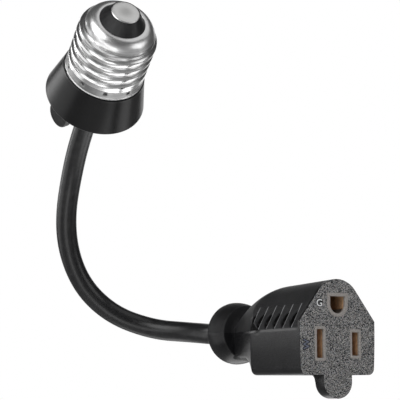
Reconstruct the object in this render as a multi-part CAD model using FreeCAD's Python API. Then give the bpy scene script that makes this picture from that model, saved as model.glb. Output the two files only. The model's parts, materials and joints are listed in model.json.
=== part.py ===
import FreeCAD, Part
import math
import os
from FreeCAD import Placement, Rotation, Vector

# Lamp socket adapter: a screw lamp base and a grounded outlet joined by a short round cord.
# Millimetres. The row's origin is the centre of the shell's rim, on the screw axis.

# Where the two ends stand: +Z is up, and the outlet faces -Y
SCREW_TILT = 59.0                      # screw axis off the vertical, leaning towards -Y
SCREW_SWING = -7.5                     # then turned about the vertical
OUTLET_AT = Vector(54.0, -54.9, -89.7) # middle of the blade line on the outlet's face

# Screw shell, 26 mm lamp thread with 7 turns to the inch
CREST_RADIUS = 13.1
PITCH = 25.4 / 7
THREAD_DEPTH = 0.72
SHELL_WALL = 0.3
SHELL_HEIGHT = 23.2
SHOULDER_RADIUS = 2.9
SHOULDER_RISE = 0.35                   # the top is a very flat cone
OPENING_RADIUS = 7.35
RIM_ROLL = 0.2                         # radius of the rim's rolled bead
GROOVE_WIDTH = 2.5                     # of the rolled groove, at the crests
THREAD_START = 4.6                     # first and last height of the groove's middle
THREAD_END = SHELL_HEIGHT - 3.6
ROOT_ANGLE = -74.3                     # direction at which a root lies at ROOT_HEIGHT
ROOT_HEIGHT = 10.6
DIMPLE_COUNT = 8
DIMPLE_ANGLE = -101.2                  # direction of one staking dimple
DIMPLE_HEIGHT = 2.0
DIMPLE_RADIUS = 1.5                    # of the punch's ball end
DIMPLE_DEPTH = 0.22

# Tip insulator and centre contact
NOSE_HEIGHT = 3.4                      # above the shell
NOSE_TOP_RADIUS = 5.1
NOSE_FLANGE_RADIUS = 9.7
NOSE_FLANGE_THICK = 1.2
NOSE_BOSS_RADIUS = 6.0
NOSE_BOSS_DEPTH = 2.0
BUTTON_RADIUS = 4.7
BUTTON_THICK = 0.95
BUTTON_SEAT = 0.3                      # sunk into the nose by this
BUTTON_DISH = 0.25
SHANK_RADIUS = 0.9
SHANK_LENGTH = 5.2

# Base body: the flared cap and the collar that the shell is staked to
CAP_HEIGHT = 13.0
CAP_BOTTOM_RADIUS = 16.8
CAP_TOP_RADIUS = 13.7
CAP_EDGE = 0.5
CAP_WALL = 1.9
COLLAR_HEIGHT = 3.2
COLLAR_WALL = 2.4
COLLAR_FIT = 0.06                      # radial clearance in the shell's skirt
NOTCH_WIDTH = 1.6

# Base cover with its lug
COVER_THICK = 2.0
COVER_RADIUS = 15.3
COVER_FIT = 0.06
LUG_RADIUS = 4.6
LUG_DROP = 7.6                         # from the cover's outer face to the lug's round end
LUG_THICK = 2.0
LUG_ANGLE = -145.5
LUG_EDGE = 0.6

# Cord, its cores and the ferrule that grips it
CORD_DIAMETER = 7.2
CORD_FIT = 0.04                        # radial clearance of the cord in its bores
COVER_HOLE_FIT = 0.25
CORD_END_IN_BASE = 6.0                 # jacket's end, below the rim
GRIP_WALL = 1.9
GRIP_LENGTH = 3.6
GRIP_FLANGE = 1.5
GRIP_FLANGE_THICK = 1.1
LEAD_RADIUS = 1.2
LEAD_STRAIGHT = 5.5                    # straight ends of the outlet's leads
STRAND_RADIUS = 0.5
CORE_SPACING = 3.6                     # between the two cores in the jacket
TOUCH = 0.03                           # clearance left between pieces that touch

# Outlet: blade and ground positions of a 15 A, 125 V grounded outlet
BLADE_SPACING = 12.7
GROUND_RISE = 11.89                    # ground contact above the blade line
NEUTRAL_SLOT = (2.5, 8.7)              # width, height
HOT_SLOT = (2.6, 7.1)
GROUND_RADIUS = 2.7                    # of the ground hole's round end
GROUND_FLAT = 2.55                     # from the ground centre up to the hole's flat top
RIM_MARGIN = (0.7, 0.95)               # carrier's rim round each slot: sideways, up and down
RIM_CORNER = 0.6
GROUND_RIM = 1.05

# Outlet body outline, seen from the front
HALF_WIDTH = 13.55
BOTTOM = -9.45
SIDE_TOP = 6.9                         # corner between the upright side and the slope
TOP_RADIUS = 8.2
TOP_CENTRE = 11.55
BOTTOM_CORNER = 2.0

# Outlet body seen from above and from the side
BODY_LENGTH = 30.5                     # full-width part
TOP_FLAT_LENGTH = 27.0                 # the ridge falls slightly this far, then curves down
TOP_FALL = 0.65
NECK_END = 56.0
NECK_OVERRUN = 4.0                     # neck's length inside the ball collar
NECK_HALF_WIDTH = 5.2
NECK_TOP = 9.4
NECK_BOTTOM = -4.1

# Ball collar
AXIS_HEIGHT = 4.9                      # cord axis above the blade line
BALL_AT = 64.0
BALL_RADIUS = 10.5
BALL_BACK = 6.8                        # half axis of the domed back
BALL_RIM_RADIUS = 9.2
BALL_RIM_AT = 56.6
CORD_END_IN_OUTLET = 64.5

# Finger grips on the two upper corners
GRIP_COUNT = 6
GRIP_PITCH = 5.07
GRIP_START = 1.9                       # front end of the gripped length
GRIP_LOW = 4.65                        # lower edge, on the upright side
GRIP_HIGH = 12.15                      # upper edge, on the slope
GRIP_DEPTH = 1.5
GRIP_FIRST = 5.3                       # front wall of the first groove, behind the face
GROOVE_WALL = 0.25                     # steep front wall of each groove, along the body
GROOVE_LENGTH = 3.1                    # length of each groove, which runs out towards the neck
GROOVE_CENTRE = 0.4                    # middle of the groove, as a share of the flat's height
GROOVE_REACH = 0.8                     # height of the groove, as a share of the flat's

# Tongue under the face
TONGUE_HALF_WIDTH = 5.04
TONGUE_DROP = 7.15
TONGUE_THICK = 5.5
TONGUE_GUSSET = 2.2

# Contact carrier, its rear plate and the contacts
FACE_WALL = 1.0                        # body's skin in front of the carrier
CARRIER_INSET = 2.7
CARRIER_LENGTH = 14.8
CARRIER_FIT = 0.04
CAVITY_MARGIN = 0.55                   # cavity past its slot, up, down and sideways
PLATE_THICK = 1.5
SHEET = 0.45                           # contact sheet
PINCH_GAP = 1.2                        # blade contacts grip a 1.5 mm blade
PINCH_AT = 0.45                        # share of the fork's length
GROUND_PINCH = 4.3                     # grips a 4.75 mm pin
TAIL_WIDTH = 2.4
BARREL_LENGTH = 4.0
BARREL_WALL = 0.35
TAIL_LENGTH = 3.0

UP = Vector(0, 0, 1)
BACK = Vector(0, 1, 0)
BASE_FRAME = Placement(Vector(), Rotation(UP, SCREW_SWING) * Rotation(Vector(1, 0, 0), SCREW_TILT))
OUTLET_FRAME = Placement(OUTLET_AT, Rotation())

# Cord route between its two ends, which leave the base and the ball collar straight
CORD_MIDDLE = [
    Vector(4.3, 34.2, -25.8),
    Vector(3.6, 46.7, -47.3),
    Vector(12.0, 51.8, -64.0),
    Vector(25.1, 51.7, -75.2),
    Vector(39.4, 45.0, -81.5),
    Vector(49.5, 33.7, -84.0),
]
CORD_FIRST_RUN = 15.1
CORD_LAST_RUN = 12.5


# Outlines and simple bodies

def outline(place, start, *steps):
    """Closed face from a start point and steps: (x, y) is a straight edge, (mx, my, x, y) an arc."""
    edges = []
    here = start
    for step in steps + (start,):
        target = step[-2:]
        if len(step) == 4:
            edges.append(Part.Arc(place(*here), place(*step[:2]), place(*target)).toShape())
        elif math.dist(here, target) > 1e-6:
            edges.append(Part.makeLine(place(*here), place(*target)))
        here = target
    return Part.Face(Part.Wire(edges))


def front(x, z):
    return Vector(x, 0, z)


def side(y, z):
    return Vector(0, y, z)


def plan(x, y):
    return Vector(x, y, 0)


def turned(face, point=Vector(), axis=UP):
    return face.revolve(point, axis, 360)


def rod(radius, start, end):
    return Part.makeCylinder(radius, (end - start).Length, start, end - start)


def moved(shape, offset):
    copy = shape.copy()
    copy.translate(offset)
    return copy


def quarter_mid(centre, radius, angle):
    """Point at an angle on a circle, used as an arc's middle point."""
    turn = math.radians(angle)
    return (centre[0] + radius * math.cos(turn), centre[1] + radius * math.sin(turn))


def rounded_box(half_width, half_height, corner, depth):
    """Box along +Y from the front plane, with round corners, centred on the axis."""
    w, h, c = half_width, half_height, corner
    low = quarter_mid((w - c, -h + c), c, -45)
    high = quarter_mid((w - c, h - c), c, 45)
    face = outline(
        front,
        (-w + c, -h),
        (w - c, -h),
        low + (w, -h + c),
        (w, h - c),
        high + (w - c, h),
        (-w + c, h),
        (-high[0], high[1], -w, h - c),
        (-w, -h + c),
        (-low[0], low[1], -w + c, -h),
    )
    return face.extrude(Vector(0, depth, 0))


def ground_prism(grow, depth):
    """The ground hole's shape, round below and flat above, grown all round."""
    radius = GROUND_RADIUS + grow
    top = GROUND_FLAT + grow
    face = outline(front, (-radius, 0), (0, -radius, radius, 0), (radius, top), (-radius, top))
    return moved(face.extrude(Vector(0, depth, 0)), Vector(0, 0, GROUND_RISE))


# Tubes that follow a route

def bend_radii(points):
    """Arc radius at each inner point: as large as its two runs allow."""
    radii = []
    for before, here, after in zip(points, points[1:], points[2:]):
        run = min((here - before).Length, (after - here).Length)
        turn = (here - before).getAngle(after - here)
        radii.append(0.45 * run / math.tan(turn / 2))
    return radii


def route_wire(points):
    """Straight runs joined by tangent arcs."""
    edges = []
    here = points[0]
    for radius, before, corner, after in zip(bend_radii(points), points, points[1:], points[2:]):
        back = (before - corner).normalize()
        ahead = (after - corner).normalize()
        half = (corner - before).getAngle(after - corner) / 2
        setback = radius * math.tan(half)
        start = corner + back * setback
        end = corner + ahead * setback
        inward = (back + ahead).normalize()
        middle = corner + inward * (radius / math.cos(half) - radius)
        edges.append(Part.LineSegment(here, start).toShape())
        edges.append(Part.Arc(start, middle, end).toShape())
        here = end
    edges.append(Part.LineSegment(here, points[-1]).toShape())
    return Part.Wire(edges)


def tube(points, radius):
    """Round rod along a route: one cylinder or elbow for each stretch, made as one sweep."""
    path = route_wire(points)
    circle = Part.makeCircle(radius, points[0], points[1] - points[0])
    return path.makePipeShell([Part.Wire([circle])], True, False)


# Screw base, in its own frame: +Z along the screw axis, towards the tip

THREAD_TOP = SHELL_HEIGHT - SHOULDER_RISE - SHOULDER_RADIUS


def thread_groove(grow):
    """The rolled thread's groove as a round helical rod, grown by the sheet's thickness for the inside."""
    sink = (GROOVE_WIDTH ** 2 / 4 + THREAD_DEPTH ** 2) / (2 * THREAD_DEPTH)
    centre = Vector(CREST_RADIUS + sink - THREAD_DEPTH, 0, THREAD_START)
    circle = Part.makeCircle(sink + grow, centre, Vector(0, 1, 0))
    helix = Part.makeHelix(PITCH, THREAD_END - THREAD_START, CREST_RADIUS)
    helix.translate(Vector(0, 0, THREAD_START))
    rod_round = Part.Wire(helix).makePipeShell([Part.Wire([circle])], True, True)
    rod_round.rotate(Vector(), UP, ROOT_ANGLE + 360 * (THREAD_START - ROOT_HEIGHT) / PITCH)
    return rod_round


def shell_form(inset):
    """The shell's whole outer or inner form: skirt, thread and shoulder."""
    radius = CREST_RADIUS - inset
    corner = CREST_RADIUS - SHOULDER_RADIUS
    flat = SHELL_HEIGHT - SHOULDER_RISE - inset
    face = outline(
        front,
        (0, -1 if inset else 0),
        (radius, -1 if inset else 0),
        (radius, THREAD_TOP),
        quarter_mid((corner, THREAD_TOP), SHOULDER_RADIUS - inset, 45) + (corner, flat),
        (OPENING_RADIUS, SHELL_HEIGHT - inset),
        (0, SHELL_HEIGHT - inset),
    )
    return turned(face).cut(thread_groove(inset))


def dimple_centres():
    reach = CREST_RADIUS - DIMPLE_DEPTH + DIMPLE_RADIUS
    for i in range(DIMPLE_COUNT):
        angle = math.radians(DIMPLE_ANGLE + 360 * i / DIMPLE_COUNT)
        yield Vector(reach * math.cos(angle), reach * math.sin(angle), DIMPLE_HEIGHT)


def screw_shell():
    bead = Part.makeTorus(CREST_RADIUS - RIM_ROLL * 0.5, RIM_ROLL, Vector(0, 0, RIM_ROLL), UP)
    shell = shell_form(0).fuse(bead).cut(shell_form(SHELL_WALL))
    shell = shell.cut(rod(OPENING_RADIUS, Vector(0, 0, THREAD_TOP), Vector(0, 0, SHELL_HEIGHT + 1)))
    for centre in dimple_centres():
        shell = shell.cut(Part.makeSphere(DIMPLE_RADIUS, centre))
    return shell


NOSE_TOP = SHELL_HEIGHT + NOSE_HEIGHT
SHANK_HOLE = SHANK_RADIUS + 2 * STRAND_RADIUS + 4 * TOUCH
STRAND_OFFSET = SHANK_RADIUS + STRAND_RADIUS + TOUCH


def under_shell(radius):
    """Height of the shell's inner top at a radius, less the touch clearance."""
    corner = CREST_RADIUS - SHOULDER_RADIUS
    share = (corner - radius) / (corner - OPENING_RADIUS)
    return SHELL_HEIGHT - SHELL_WALL - SHOULDER_RISE * (1 - share) - TOUCH


def tip_insulator():
    neck = OPENING_RADIUS - TOUCH
    flange_low = under_shell(NOSE_FLANGE_RADIUS) - NOSE_FLANGE_THICK
    seat = NOSE_TOP - BUTTON_SEAT
    seat_radius = BUTTON_RADIUS + TOUCH
    bulge = ((neck + NOSE_TOP_RADIUS) / 2 + 0.35, (SHELL_HEIGHT + NOSE_TOP) / 2)
    face = outline(
        front,
        (SHANK_HOLE, flange_low - NOSE_BOSS_DEPTH),
        (NOSE_BOSS_RADIUS, flange_low - NOSE_BOSS_DEPTH),
        (NOSE_BOSS_RADIUS, flange_low),
        (NOSE_FLANGE_RADIUS, flange_low),
        (NOSE_FLANGE_RADIUS, under_shell(NOSE_FLANGE_RADIUS)),
        (neck, under_shell(neck)),
        (neck, SHELL_HEIGHT),
        bulge + (NOSE_TOP_RADIUS, NOSE_TOP),
        (seat_radius, NOSE_TOP),
        (seat_radius, seat),
        (SHANK_HOLE, seat),
    )
    return turned(face)


def centre_contact():
    low = NOSE_TOP - BUTTON_SEAT + TOUCH
    high = low + BUTTON_THICK
    edge = BUTTON_THICK / 3
    rim = BUTTON_RADIUS - edge
    face = outline(
        front,
        (0, low - SHANK_LENGTH),
        (SHANK_RADIUS, low - SHANK_LENGTH),
        (SHANK_RADIUS, low),
        (BUTTON_RADIUS, low),
        (BUTTON_RADIUS, high - edge),
        quarter_mid((rim, high - edge), edge, 45) + (rim, high),
        (rim * 0.8, high),
        (rim * 0.5, high - BUTTON_DISH),
        (0, high - BUTTON_DISH),
    )
    return turned(face)


COLLAR_RADIUS = CREST_RADIUS - SHELL_WALL - COLLAR_FIT
COLLAR_BORE = COLLAR_RADIUS - COLLAR_WALL


def notch():
    """Slot through the collar that the neutral strands pass through."""
    box = Part.makeBox(COLLAR_WALL * 2, NOTCH_WIDTH, COLLAR_HEIGHT)
    return moved(box, Vector(-COLLAR_RADIUS - COLLAR_WALL / 2, -NOTCH_WIDTH / 2, STRAND_RADIUS))


def base_body():
    bottom = -CAP_HEIGHT
    seat = bottom + COVER_THICK + TOUCH
    recess = COVER_RADIUS + COVER_FIT
    slope = (CAP_BOTTOM_RADIUS - CAP_TOP_RADIUS) / CAP_HEIGHT
    ceiling = -CAP_WALL
    cavity_low = min(CAP_BOTTOM_RADIUS - CAP_WALL - slope * COVER_THICK, recess - 1)
    cavity_high = max(cavity_low - slope * (CAP_HEIGHT - COVER_THICK - CAP_WALL), COLLAR_BORE)
    chamfer = SHELL_WALL
    face = outline(
        front,
        (recess, bottom),
        (CAP_BOTTOM_RADIUS - CAP_EDGE, bottom),
        quarter_mid((CAP_BOTTOM_RADIUS - CAP_EDGE, bottom + CAP_EDGE), CAP_EDGE, -45)
        + (CAP_BOTTOM_RADIUS, bottom + CAP_EDGE),
        (CAP_TOP_RADIUS, 0 - TOUCH),
        (COLLAR_RADIUS, 0 - TOUCH),
        (COLLAR_RADIUS, COLLAR_HEIGHT - chamfer),
        (COLLAR_RADIUS - chamfer, COLLAR_HEIGHT),
        (COLLAR_BORE, COLLAR_HEIGHT),
        (COLLAR_BORE, ceiling),
        (cavity_high, ceiling),
        (cavity_low, seat),
        (recess, seat),
    )
    return turned(face).cut(notch())


def lug():
    """Round-ended tab that hangs from the cover near its edge."""
    top = COVER_THICK / 2
    centre = LUG_RADIUS - LUG_DROP
    face = outline(
        front,
        (-LUG_RADIUS, top),
        (-LUG_RADIUS, centre),
        (0, -LUG_DROP, LUG_RADIUS, centre),
        (LUG_RADIUS, top),
    )
    tab = face.extrude(Vector(0, LUG_THICK, 0))
    outer_edges = [e for e in tab.Edges if e.BoundBox.YMax < TOUCH and e.BoundBox.ZMin < top - TOUCH]
    tab = tab.makeFillet(LUG_EDGE, outer_edges)
    reach = math.sqrt(COVER_RADIUS ** 2 - LUG_RADIUS ** 2)
    tab.translate(Vector(0, -reach, -CAP_HEIGHT))
    tab.rotate(Vector(), UP, LUG_ANGLE + 90)
    return tab


def base_cover():
    hole = CORD_DIAMETER / 2 + COVER_HOLE_FIT
    bottom = -CAP_HEIGHT
    edge = COVER_THICK / 6
    face = outline(
        front,
        (hole + edge, bottom),
        (COVER_RADIUS, bottom),
        (COVER_RADIUS, bottom + COVER_THICK),
        (hole, bottom + COVER_THICK),
        (hole, bottom + edge),
    )
    return turned(face).fuse(lug()).removeSplitter()


def cord_grip():
    bore = CORD_DIAMETER / 2 + CORD_FIT
    low = -CAP_HEIGHT + COVER_THICK + TOUCH
    outer = bore + GRIP_WALL
    face = outline(
        front,
        (bore, low),
        (outer + GRIP_FLANGE, low),
        (outer + GRIP_FLANGE, low + GRIP_FLANGE_THICK),
        (outer, low + GRIP_FLANGE_THICK),
        (outer, low + GRIP_LENGTH),
        (bore, low + GRIP_LENGTH),
    )
    return turned(face)


# Leads in the base: the hot one runs up the axis, the neutral one out through the notch

HOT_STRIP = SHELL_HEIGHT - 6.0
NEUTRAL_RISE = STRAND_RADIUS + COLLAR_HEIGHT / 2
NEUTRAL_STRIP = -(COLLAR_BORE - 1.3)
NEUTRAL_REACH = -(CREST_RADIUS - SHELL_WALL - STRAND_RADIUS - 2 * TOUCH)


def base_hot_lead():
    start = CORE_SPACING / 2
    return tube(
        [
            Vector(start, 0, -CORD_END_IN_BASE + TOUCH),
            Vector(start, 0, 1),
            Vector(STRAND_OFFSET, 0, HOT_STRIP / 2 + 1),
            Vector(STRAND_OFFSET, 0, HOT_STRIP),
        ],
        LEAD_RADIUS,
    )


def base_hot_strands():
    top = NOSE_TOP - BUTTON_SEAT - TOUCH
    return rod(STRAND_RADIUS, Vector(STRAND_OFFSET, 0, HOT_STRIP + TOUCH), Vector(STRAND_OFFSET, 0, top))


def base_neutral_lead():
    start = -CORE_SPACING / 2
    return tube(
        [
            Vector(start, 0, -CORD_END_IN_BASE + TOUCH),
            Vector(start, 0, -CORD_END_IN_BASE / 3),
            Vector(start - 3.0, 0, NEUTRAL_RISE),
            Vector(NEUTRAL_STRIP, 0, NEUTRAL_RISE),
        ],
        LEAD_RADIUS,
    )


def base_neutral_strands():
    return tube(
        [
            Vector(NEUTRAL_STRIP - TOUCH, 0, NEUTRAL_RISE),
            Vector(NEUTRAL_REACH, 0, NEUTRAL_RISE),
            Vector(NEUTRAL_REACH, 0, STRAND_RADIUS + TOUCH),
        ],
        STRAND_RADIUS,
    )


# Cord

def cord_points():
    start = BASE_FRAME.multVec(Vector(0, 0, -CORD_END_IN_BASE))
    out = BASE_FRAME.multVec(Vector(0, 0, -CORD_END_IN_BASE - CORD_FIRST_RUN))
    end = OUTLET_FRAME.multVec(Vector(0, CORD_END_IN_OUTLET, AXIS_HEIGHT))
    into = OUTLET_FRAME.multVec(Vector(0, CORD_END_IN_OUTLET + CORD_LAST_RUN, AXIS_HEIGHT))
    return [start, out] + CORD_MIDDLE + [into, end]


def cord():
    points = cord_points()
    solid = tube(points, CORD_DIAMETER / 2)
    length = route_wire(points).Length
    section = math.pi * CORD_DIAMETER ** 2 / 4
    print("cord length", round(length, 1), "volume ratio", round(solid.Volume / (section * length), 4))
    print("cord radii", [round(r, 1) for r in bend_radii(points)])
    print("cord runs", [round((b - a).Length, 1) for a, b in zip(points, points[1:])])
    return solid


# Outlet, in its own frame: the face is the plane Y = 0, and +Y runs back to the cord

def slope_line():
    """Unit normal and distance of the right-hand slope, which is tangent to the round top."""
    across = HALF_WIDTH
    down = TOP_CENTRE - SIDE_TOP
    reach = math.hypot(across, down)
    angle = math.acos(TOP_RADIUS / reach) - math.atan2(down, across)
    normal = (math.cos(angle), math.sin(angle))
    return normal, normal[1] * TOP_CENTRE + TOP_RADIUS


def slope_height(x, inset=0.0):
    normal, distance = slope_line()
    return (distance - inset - normal[0] * x) / normal[1]


def slope_reach(z, inset=0.0):
    normal, distance = slope_line()
    return (distance - inset - normal[1] * z) / normal[0]


def house(inset, near, far):
    """The outlet's five-sided outline, set in by inset all round, from one depth to another."""
    normal, _ = slope_line()
    w = HALF_WIDTH - inset
    low = BOTTOM + inset
    c = max(BOTTOM_CORNER - inset, 0.2)
    radius = TOP_RADIUS - inset
    tangent = (radius * normal[0], TOP_CENTRE + radius * normal[1])
    corner = quarter_mid((w - c, low + c), c, -45)
    face = outline(
        front,
        (-w + c, low),
        (w - c, low),
        corner + (w, low + c),
        (w, slope_height(w, inset)),
        tangent,
        (0, TOP_CENTRE + radius, -tangent[0], tangent[1]),
        (-w, slope_height(w, inset)),
        (-w, low + c),
        (-corner[0], corner[1], -w + c, low),
    )
    return moved(face.extrude(Vector(0, far - near, 0)), Vector(0, near, 0))


def neck_profile(y, share):
    """Outline of the body with both upper corners cut to the grips' flats, narrowed to a share of its width."""
    normal, _ = slope_line()
    w = HALF_WIDTH * share
    c = BOTTOM_CORNER
    high = (slope_reach(GRIP_HIGH) * share, GRIP_HIGH)
    tangent = (TOP_RADIUS * normal[0] * share, TOP_CENTRE + TOP_RADIUS * normal[1])
    corner = quarter_mid((w - c, BOTTOM + c), c, -45)
    face = outline(
        front,
        (-w + c, BOTTOM),
        (w - c, BOTTOM),
        corner + (w, BOTTOM + c),
        (w, GRIP_LOW),
        high,
        tangent,
        (0, TOP_CENTRE + TOP_RADIUS, -tangent[0], tangent[1]),
        (-high[0], GRIP_HIGH),
        (-w, GRIP_LOW),
        (-w, BOTTOM + c),
        (-corner[0], corner[1], -w + c, BOTTOM),
    )
    return moved(face, Vector(0, y, 0))


def neck():
    """Body behind the grips, narrowing to the cord's collar, and the length of it inside the collar."""
    wide = neck_profile(BODY_LENGTH, 1)
    narrow = neck_profile(NECK_END, NECK_HALF_WIDTH / HALF_WIDTH)
    taper = Part.makeLoft([wide.OuterWire, narrow.OuterWire], True, True)
    return taper.fuse(narrow.extrude(Vector(0, NECK_OVERRUN, 0)))


def side_tool():
    """The body's outline from the side: the ridge curves down and the floor steps up to the neck."""
    ridge = TOP_CENTRE + TOP_RADIUS
    far = NECK_END + NECK_OVERRUN
    span = NECK_END - BODY_LENGTH
    fall = ridge - TOP_FALL - NECK_TOP
    face = outline(
        side,
        (-1, BOTTOM),
        (BODY_LENGTH, BOTTOM),
        (
            BODY_LENGTH + 0.12 * span,
            BOTTOM + 0.52 * (NECK_BOTTOM - BOTTOM),
            BODY_LENGTH + 0.38 * span,
            BOTTOM + 0.84 * (NECK_BOTTOM - BOTTOM),
        ),
        (far, NECK_BOTTOM),
        (far, NECK_TOP),
        (NECK_END, NECK_TOP),
        (NECK_END - 0.48 * span, NECK_TOP + 0.66 * fall, TOP_FLAT_LENGTH, ridge - TOP_FALL),
        (0, ridge),
        (-1, ridge),
    )
    return moved(face.extrude(Vector(NECK_END, 0, 0)), Vector(-NECK_END / 2, 0, 0))


def ball_collar():
    """Mushroom strain relief on the cord's axis: flared front, barrel side and domed back."""
    bore = CORD_DIAMETER / 2 + CORD_FIT
    neck = NECK_HALF_WIDTH - 0.4
    edge = BALL_RIM_RADIUS - 0.5
    dome = Part.Ellipse(side(BALL_AT, BALL_RADIUS), side(BALL_AT + BALL_BACK, 0), side(BALL_AT, 0))
    open_at = math.asin(min((bore + 0.5) / BALL_RADIUS, 1))
    back_end = (BALL_AT + BALL_BACK * math.cos(open_at), BALL_RADIUS * math.sin(open_at))
    barrel_mid = ((BALL_RIM_AT + BALL_AT) / 2, BALL_RIM_RADIUS + 0.8 * (BALL_RADIUS - BALL_RIM_RADIUS))
    edges = [
        Part.makeLine(side(NECK_END - NECK_OVERRUN, 0), side(NECK_END - NECK_OVERRUN, neck)),
        Part.makeLine(side(NECK_END - NECK_OVERRUN, neck), side(BALL_RIM_AT - 2.2, neck)),
        Part.Arc(
            side(BALL_RIM_AT - 2.2, neck), side(BALL_RIM_AT - 1.2, neck + 1.2), side(BALL_RIM_AT - 0.5, edge)
        ).toShape(),
        Part.Arc(
            side(BALL_RIM_AT - 0.5, edge),
            side(BALL_RIM_AT - 0.2, BALL_RIM_RADIUS - 0.15),
            side(BALL_RIM_AT, BALL_RIM_RADIUS),
        ).toShape(),
        Part.Arc(side(BALL_RIM_AT, BALL_RIM_RADIUS), side(*barrel_mid), side(BALL_AT, BALL_RADIUS)).toShape(),
    ]
    arc = dome_arc(dome, BALL_RADIUS, back_end)
    edges.append(arc)
    edges.append(Part.makeLine(side(*back_end), side(back_end[0], 0)))
    edges.append(Part.makeLine(side(back_end[0], 0), side(NECK_END - NECK_OVERRUN, 0)))
    face = Part.Face(Part.Wire(edges))
    collar = face.revolve(Vector(), BACK, 360)
    return moved(collar, Vector(0, 0, AXIS_HEIGHT))


def dome_arc(dome, radius, back_end):
    first = dome.parameter(side(BALL_AT, radius))
    last = dome.parameter(side(*back_end))
    low, high = sorted((first, last))
    return Part.ArcOfEllipse(dome, low, high).toShape()


def grip_teeth(hand):
    """Row of sharp-edged discs on one upper corner: they leave straight crests and leaf-shaped grooves."""
    low = Vector(hand * HALF_WIDTH, 0, GRIP_LOW)
    high = Vector(hand * slope_reach(GRIP_HIGH), 0, GRIP_HIGH)
    chord = high - low
    half = chord.Length * GROOVE_REACH / 2
    radius = (half * half + GRIP_DEPTH ** 2) / (2 * GRIP_DEPTH)
    outward = Vector(hand * chord.z, 0, -hand * chord.x).normalize() * 1.0
    core = radius - GRIP_DEPTH
    axis_point = low + chord * GROOVE_CENTRE + outward * core
    clear = 0.2
    slope = GRIP_DEPTH / (GROOVE_LENGTH - GROOVE_WALL)
    steps = []
    y = GRIP_FIRST
    for _ in range(GRIP_COUNT):
        steps.append((y, core - clear))
        steps.append((y + GROOVE_WALL, radius))
        steps.append((y + GROOVE_LENGTH + clear / slope, core - clear))
        y += GRIP_PITCH
    last = steps[-1][0]
    face = outline(lambda a, r: Vector(r, a, 0), (GRIP_FIRST, 0), *steps, (last, 0))
    return moved(face.revolve(Vector(), BACK, 360), axis_point)


def grip_flat(hand):
    """Flat cut across one upper corner, behind the face's own edge."""
    reach = slope_reach(GRIP_HIGH)
    out = HALF_WIDTH + 3
    face = outline(
        front,
        (hand * HALF_WIDTH, GRIP_LOW),
        (hand * out, GRIP_LOW),
        (hand * out, GRIP_HIGH + 3),
        (hand * slope_reach(GRIP_HIGH + 3), GRIP_HIGH + 3),
        (hand * reach, GRIP_HIGH),
    )
    return moved(face.extrude(Vector(0, NECK_END, 0)), Vector(0, GRIP_START, 0))


def tongue():
    w = TONGUE_HALF_WIDTH
    centre = BOTTOM - TONGUE_DROP + w
    top = BOTTOM + CARRIER_INSET - TOUCH * 2
    face = outline(front, (-w, top), (-w, centre), (0, centre - w, w, centre), (w, top))
    tab = face.extrude(Vector(0, TONGUE_THICK, 0))
    near = TONGUE_THICK
    far = TONGUE_THICK + TONGUE_GUSSET
    low = BOTTOM - TONGUE_GUSSET
    mid = (far - 0.7071 * TONGUE_GUSSET, low + 0.7071 * TONGUE_GUSSET)
    gusset = outline(side, (near - 1, low), (near, low), mid + (far, BOTTOM), (far, top), (near - 1, top))
    return tab.fuse(moved(gusset.extrude(Vector(2 * w, 0, 0)), Vector(-w, 0, 0)))


def blade_slots():
    """Centre, width and height of the two blade slots: wide neutral on the left, hot on the right."""
    return [
        (Vector(-BLADE_SPACING / 2, 0, 0),) + NEUTRAL_SLOT,
        (Vector(BLADE_SPACING / 2, 0, 0),) + HOT_SLOT,
    ]


def slot_rims(gap, depth):
    """The three rims round the slots, as solid prisms, less a gap all round."""
    prisms = [ground_prism(GROUND_RIM - gap, depth)]
    for centre, width, height in blade_slots():
        w = width / 2 + RIM_MARGIN[0] - gap
        h = height / 2 + RIM_MARGIN[1] - gap
        prisms.append(moved(rounded_box(w, h, RIM_CORNER, depth), centre))
    return prisms


CARRIER_BACK = FACE_WALL + CARRIER_LENGTH
PLATE_BACK = CARRIER_BACK + PLATE_THICK
BARREL_START = PLATE_BACK + TAIL_LENGTH
BARREL_RADIUS = STRAND_RADIUS + TOUCH + BARREL_WALL
LEAD_START = BARREL_START + BARREL_LENGTH + 1.5


def outlet_lead_points(hand):
    start = Vector(hand * BLADE_SPACING / 2, LEAD_START, 0)
    end = Vector(hand * CORE_SPACING / 2, CORD_END_IN_OUTLET - TOUCH, AXIS_HEIGHT)
    return [start, start + Vector(0, LEAD_STRAIGHT, 0), end - Vector(0, LEAD_STRAIGHT, 0), end]


def outlet_body():
    body = house(0, 0, BODY_LENGTH)
    for hand in (-1, 1):
        body = body.cut(grip_flat(hand))
    body = body.fuse(neck()).common(side_tool())
    for hand in (-1, 1):
        body = body.cut(grip_teeth(hand))
    body = body.fuse([ball_collar(), tongue()])
    body = body.cut(slot_rims(0, FACE_WALL + 1))
    body = body.cut(house(CARRIER_INSET - CARRIER_FIT, FACE_WALL - TOUCH, PLATE_BACK + CARRIER_FIT))
    for hand in (-1, 1):
        x = hand * BLADE_SPACING / 2
        body = body.cut(rod(BARREL_RADIUS + CARRIER_FIT, Vector(x, PLATE_BACK, 0), Vector(x, LEAD_START, 0)))
        body = body.cut(tube(outlet_lead_points(hand), LEAD_RADIUS + TOUCH))
    for x, z in contact_seats():
        fit = CARRIER_FIT
        slot = Part.makeBox(TAIL_WIDTH + 2 * fit, TAIL_LENGTH + 1, SHEET + 2 * fit)
        body = body.cut(moved(slot, Vector(x - TAIL_WIDTH / 2 - fit, PLATE_BACK, z - SHEET / 2 - fit)))
    axis = Vector(0, CORD_END_IN_OUTLET - TOUCH, AXIS_HEIGHT)
    body = body.cut(rod(CORD_DIAMETER / 2 + CORD_FIT, axis, Vector(0, BALL_AT + 2 * BALL_BACK, AXIS_HEIGHT)))
    return body.removeSplitter()


def cavity_half(width, height):
    return width / 2 + CAVITY_MARGIN, height / 2 + CAVITY_MARGIN


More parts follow.
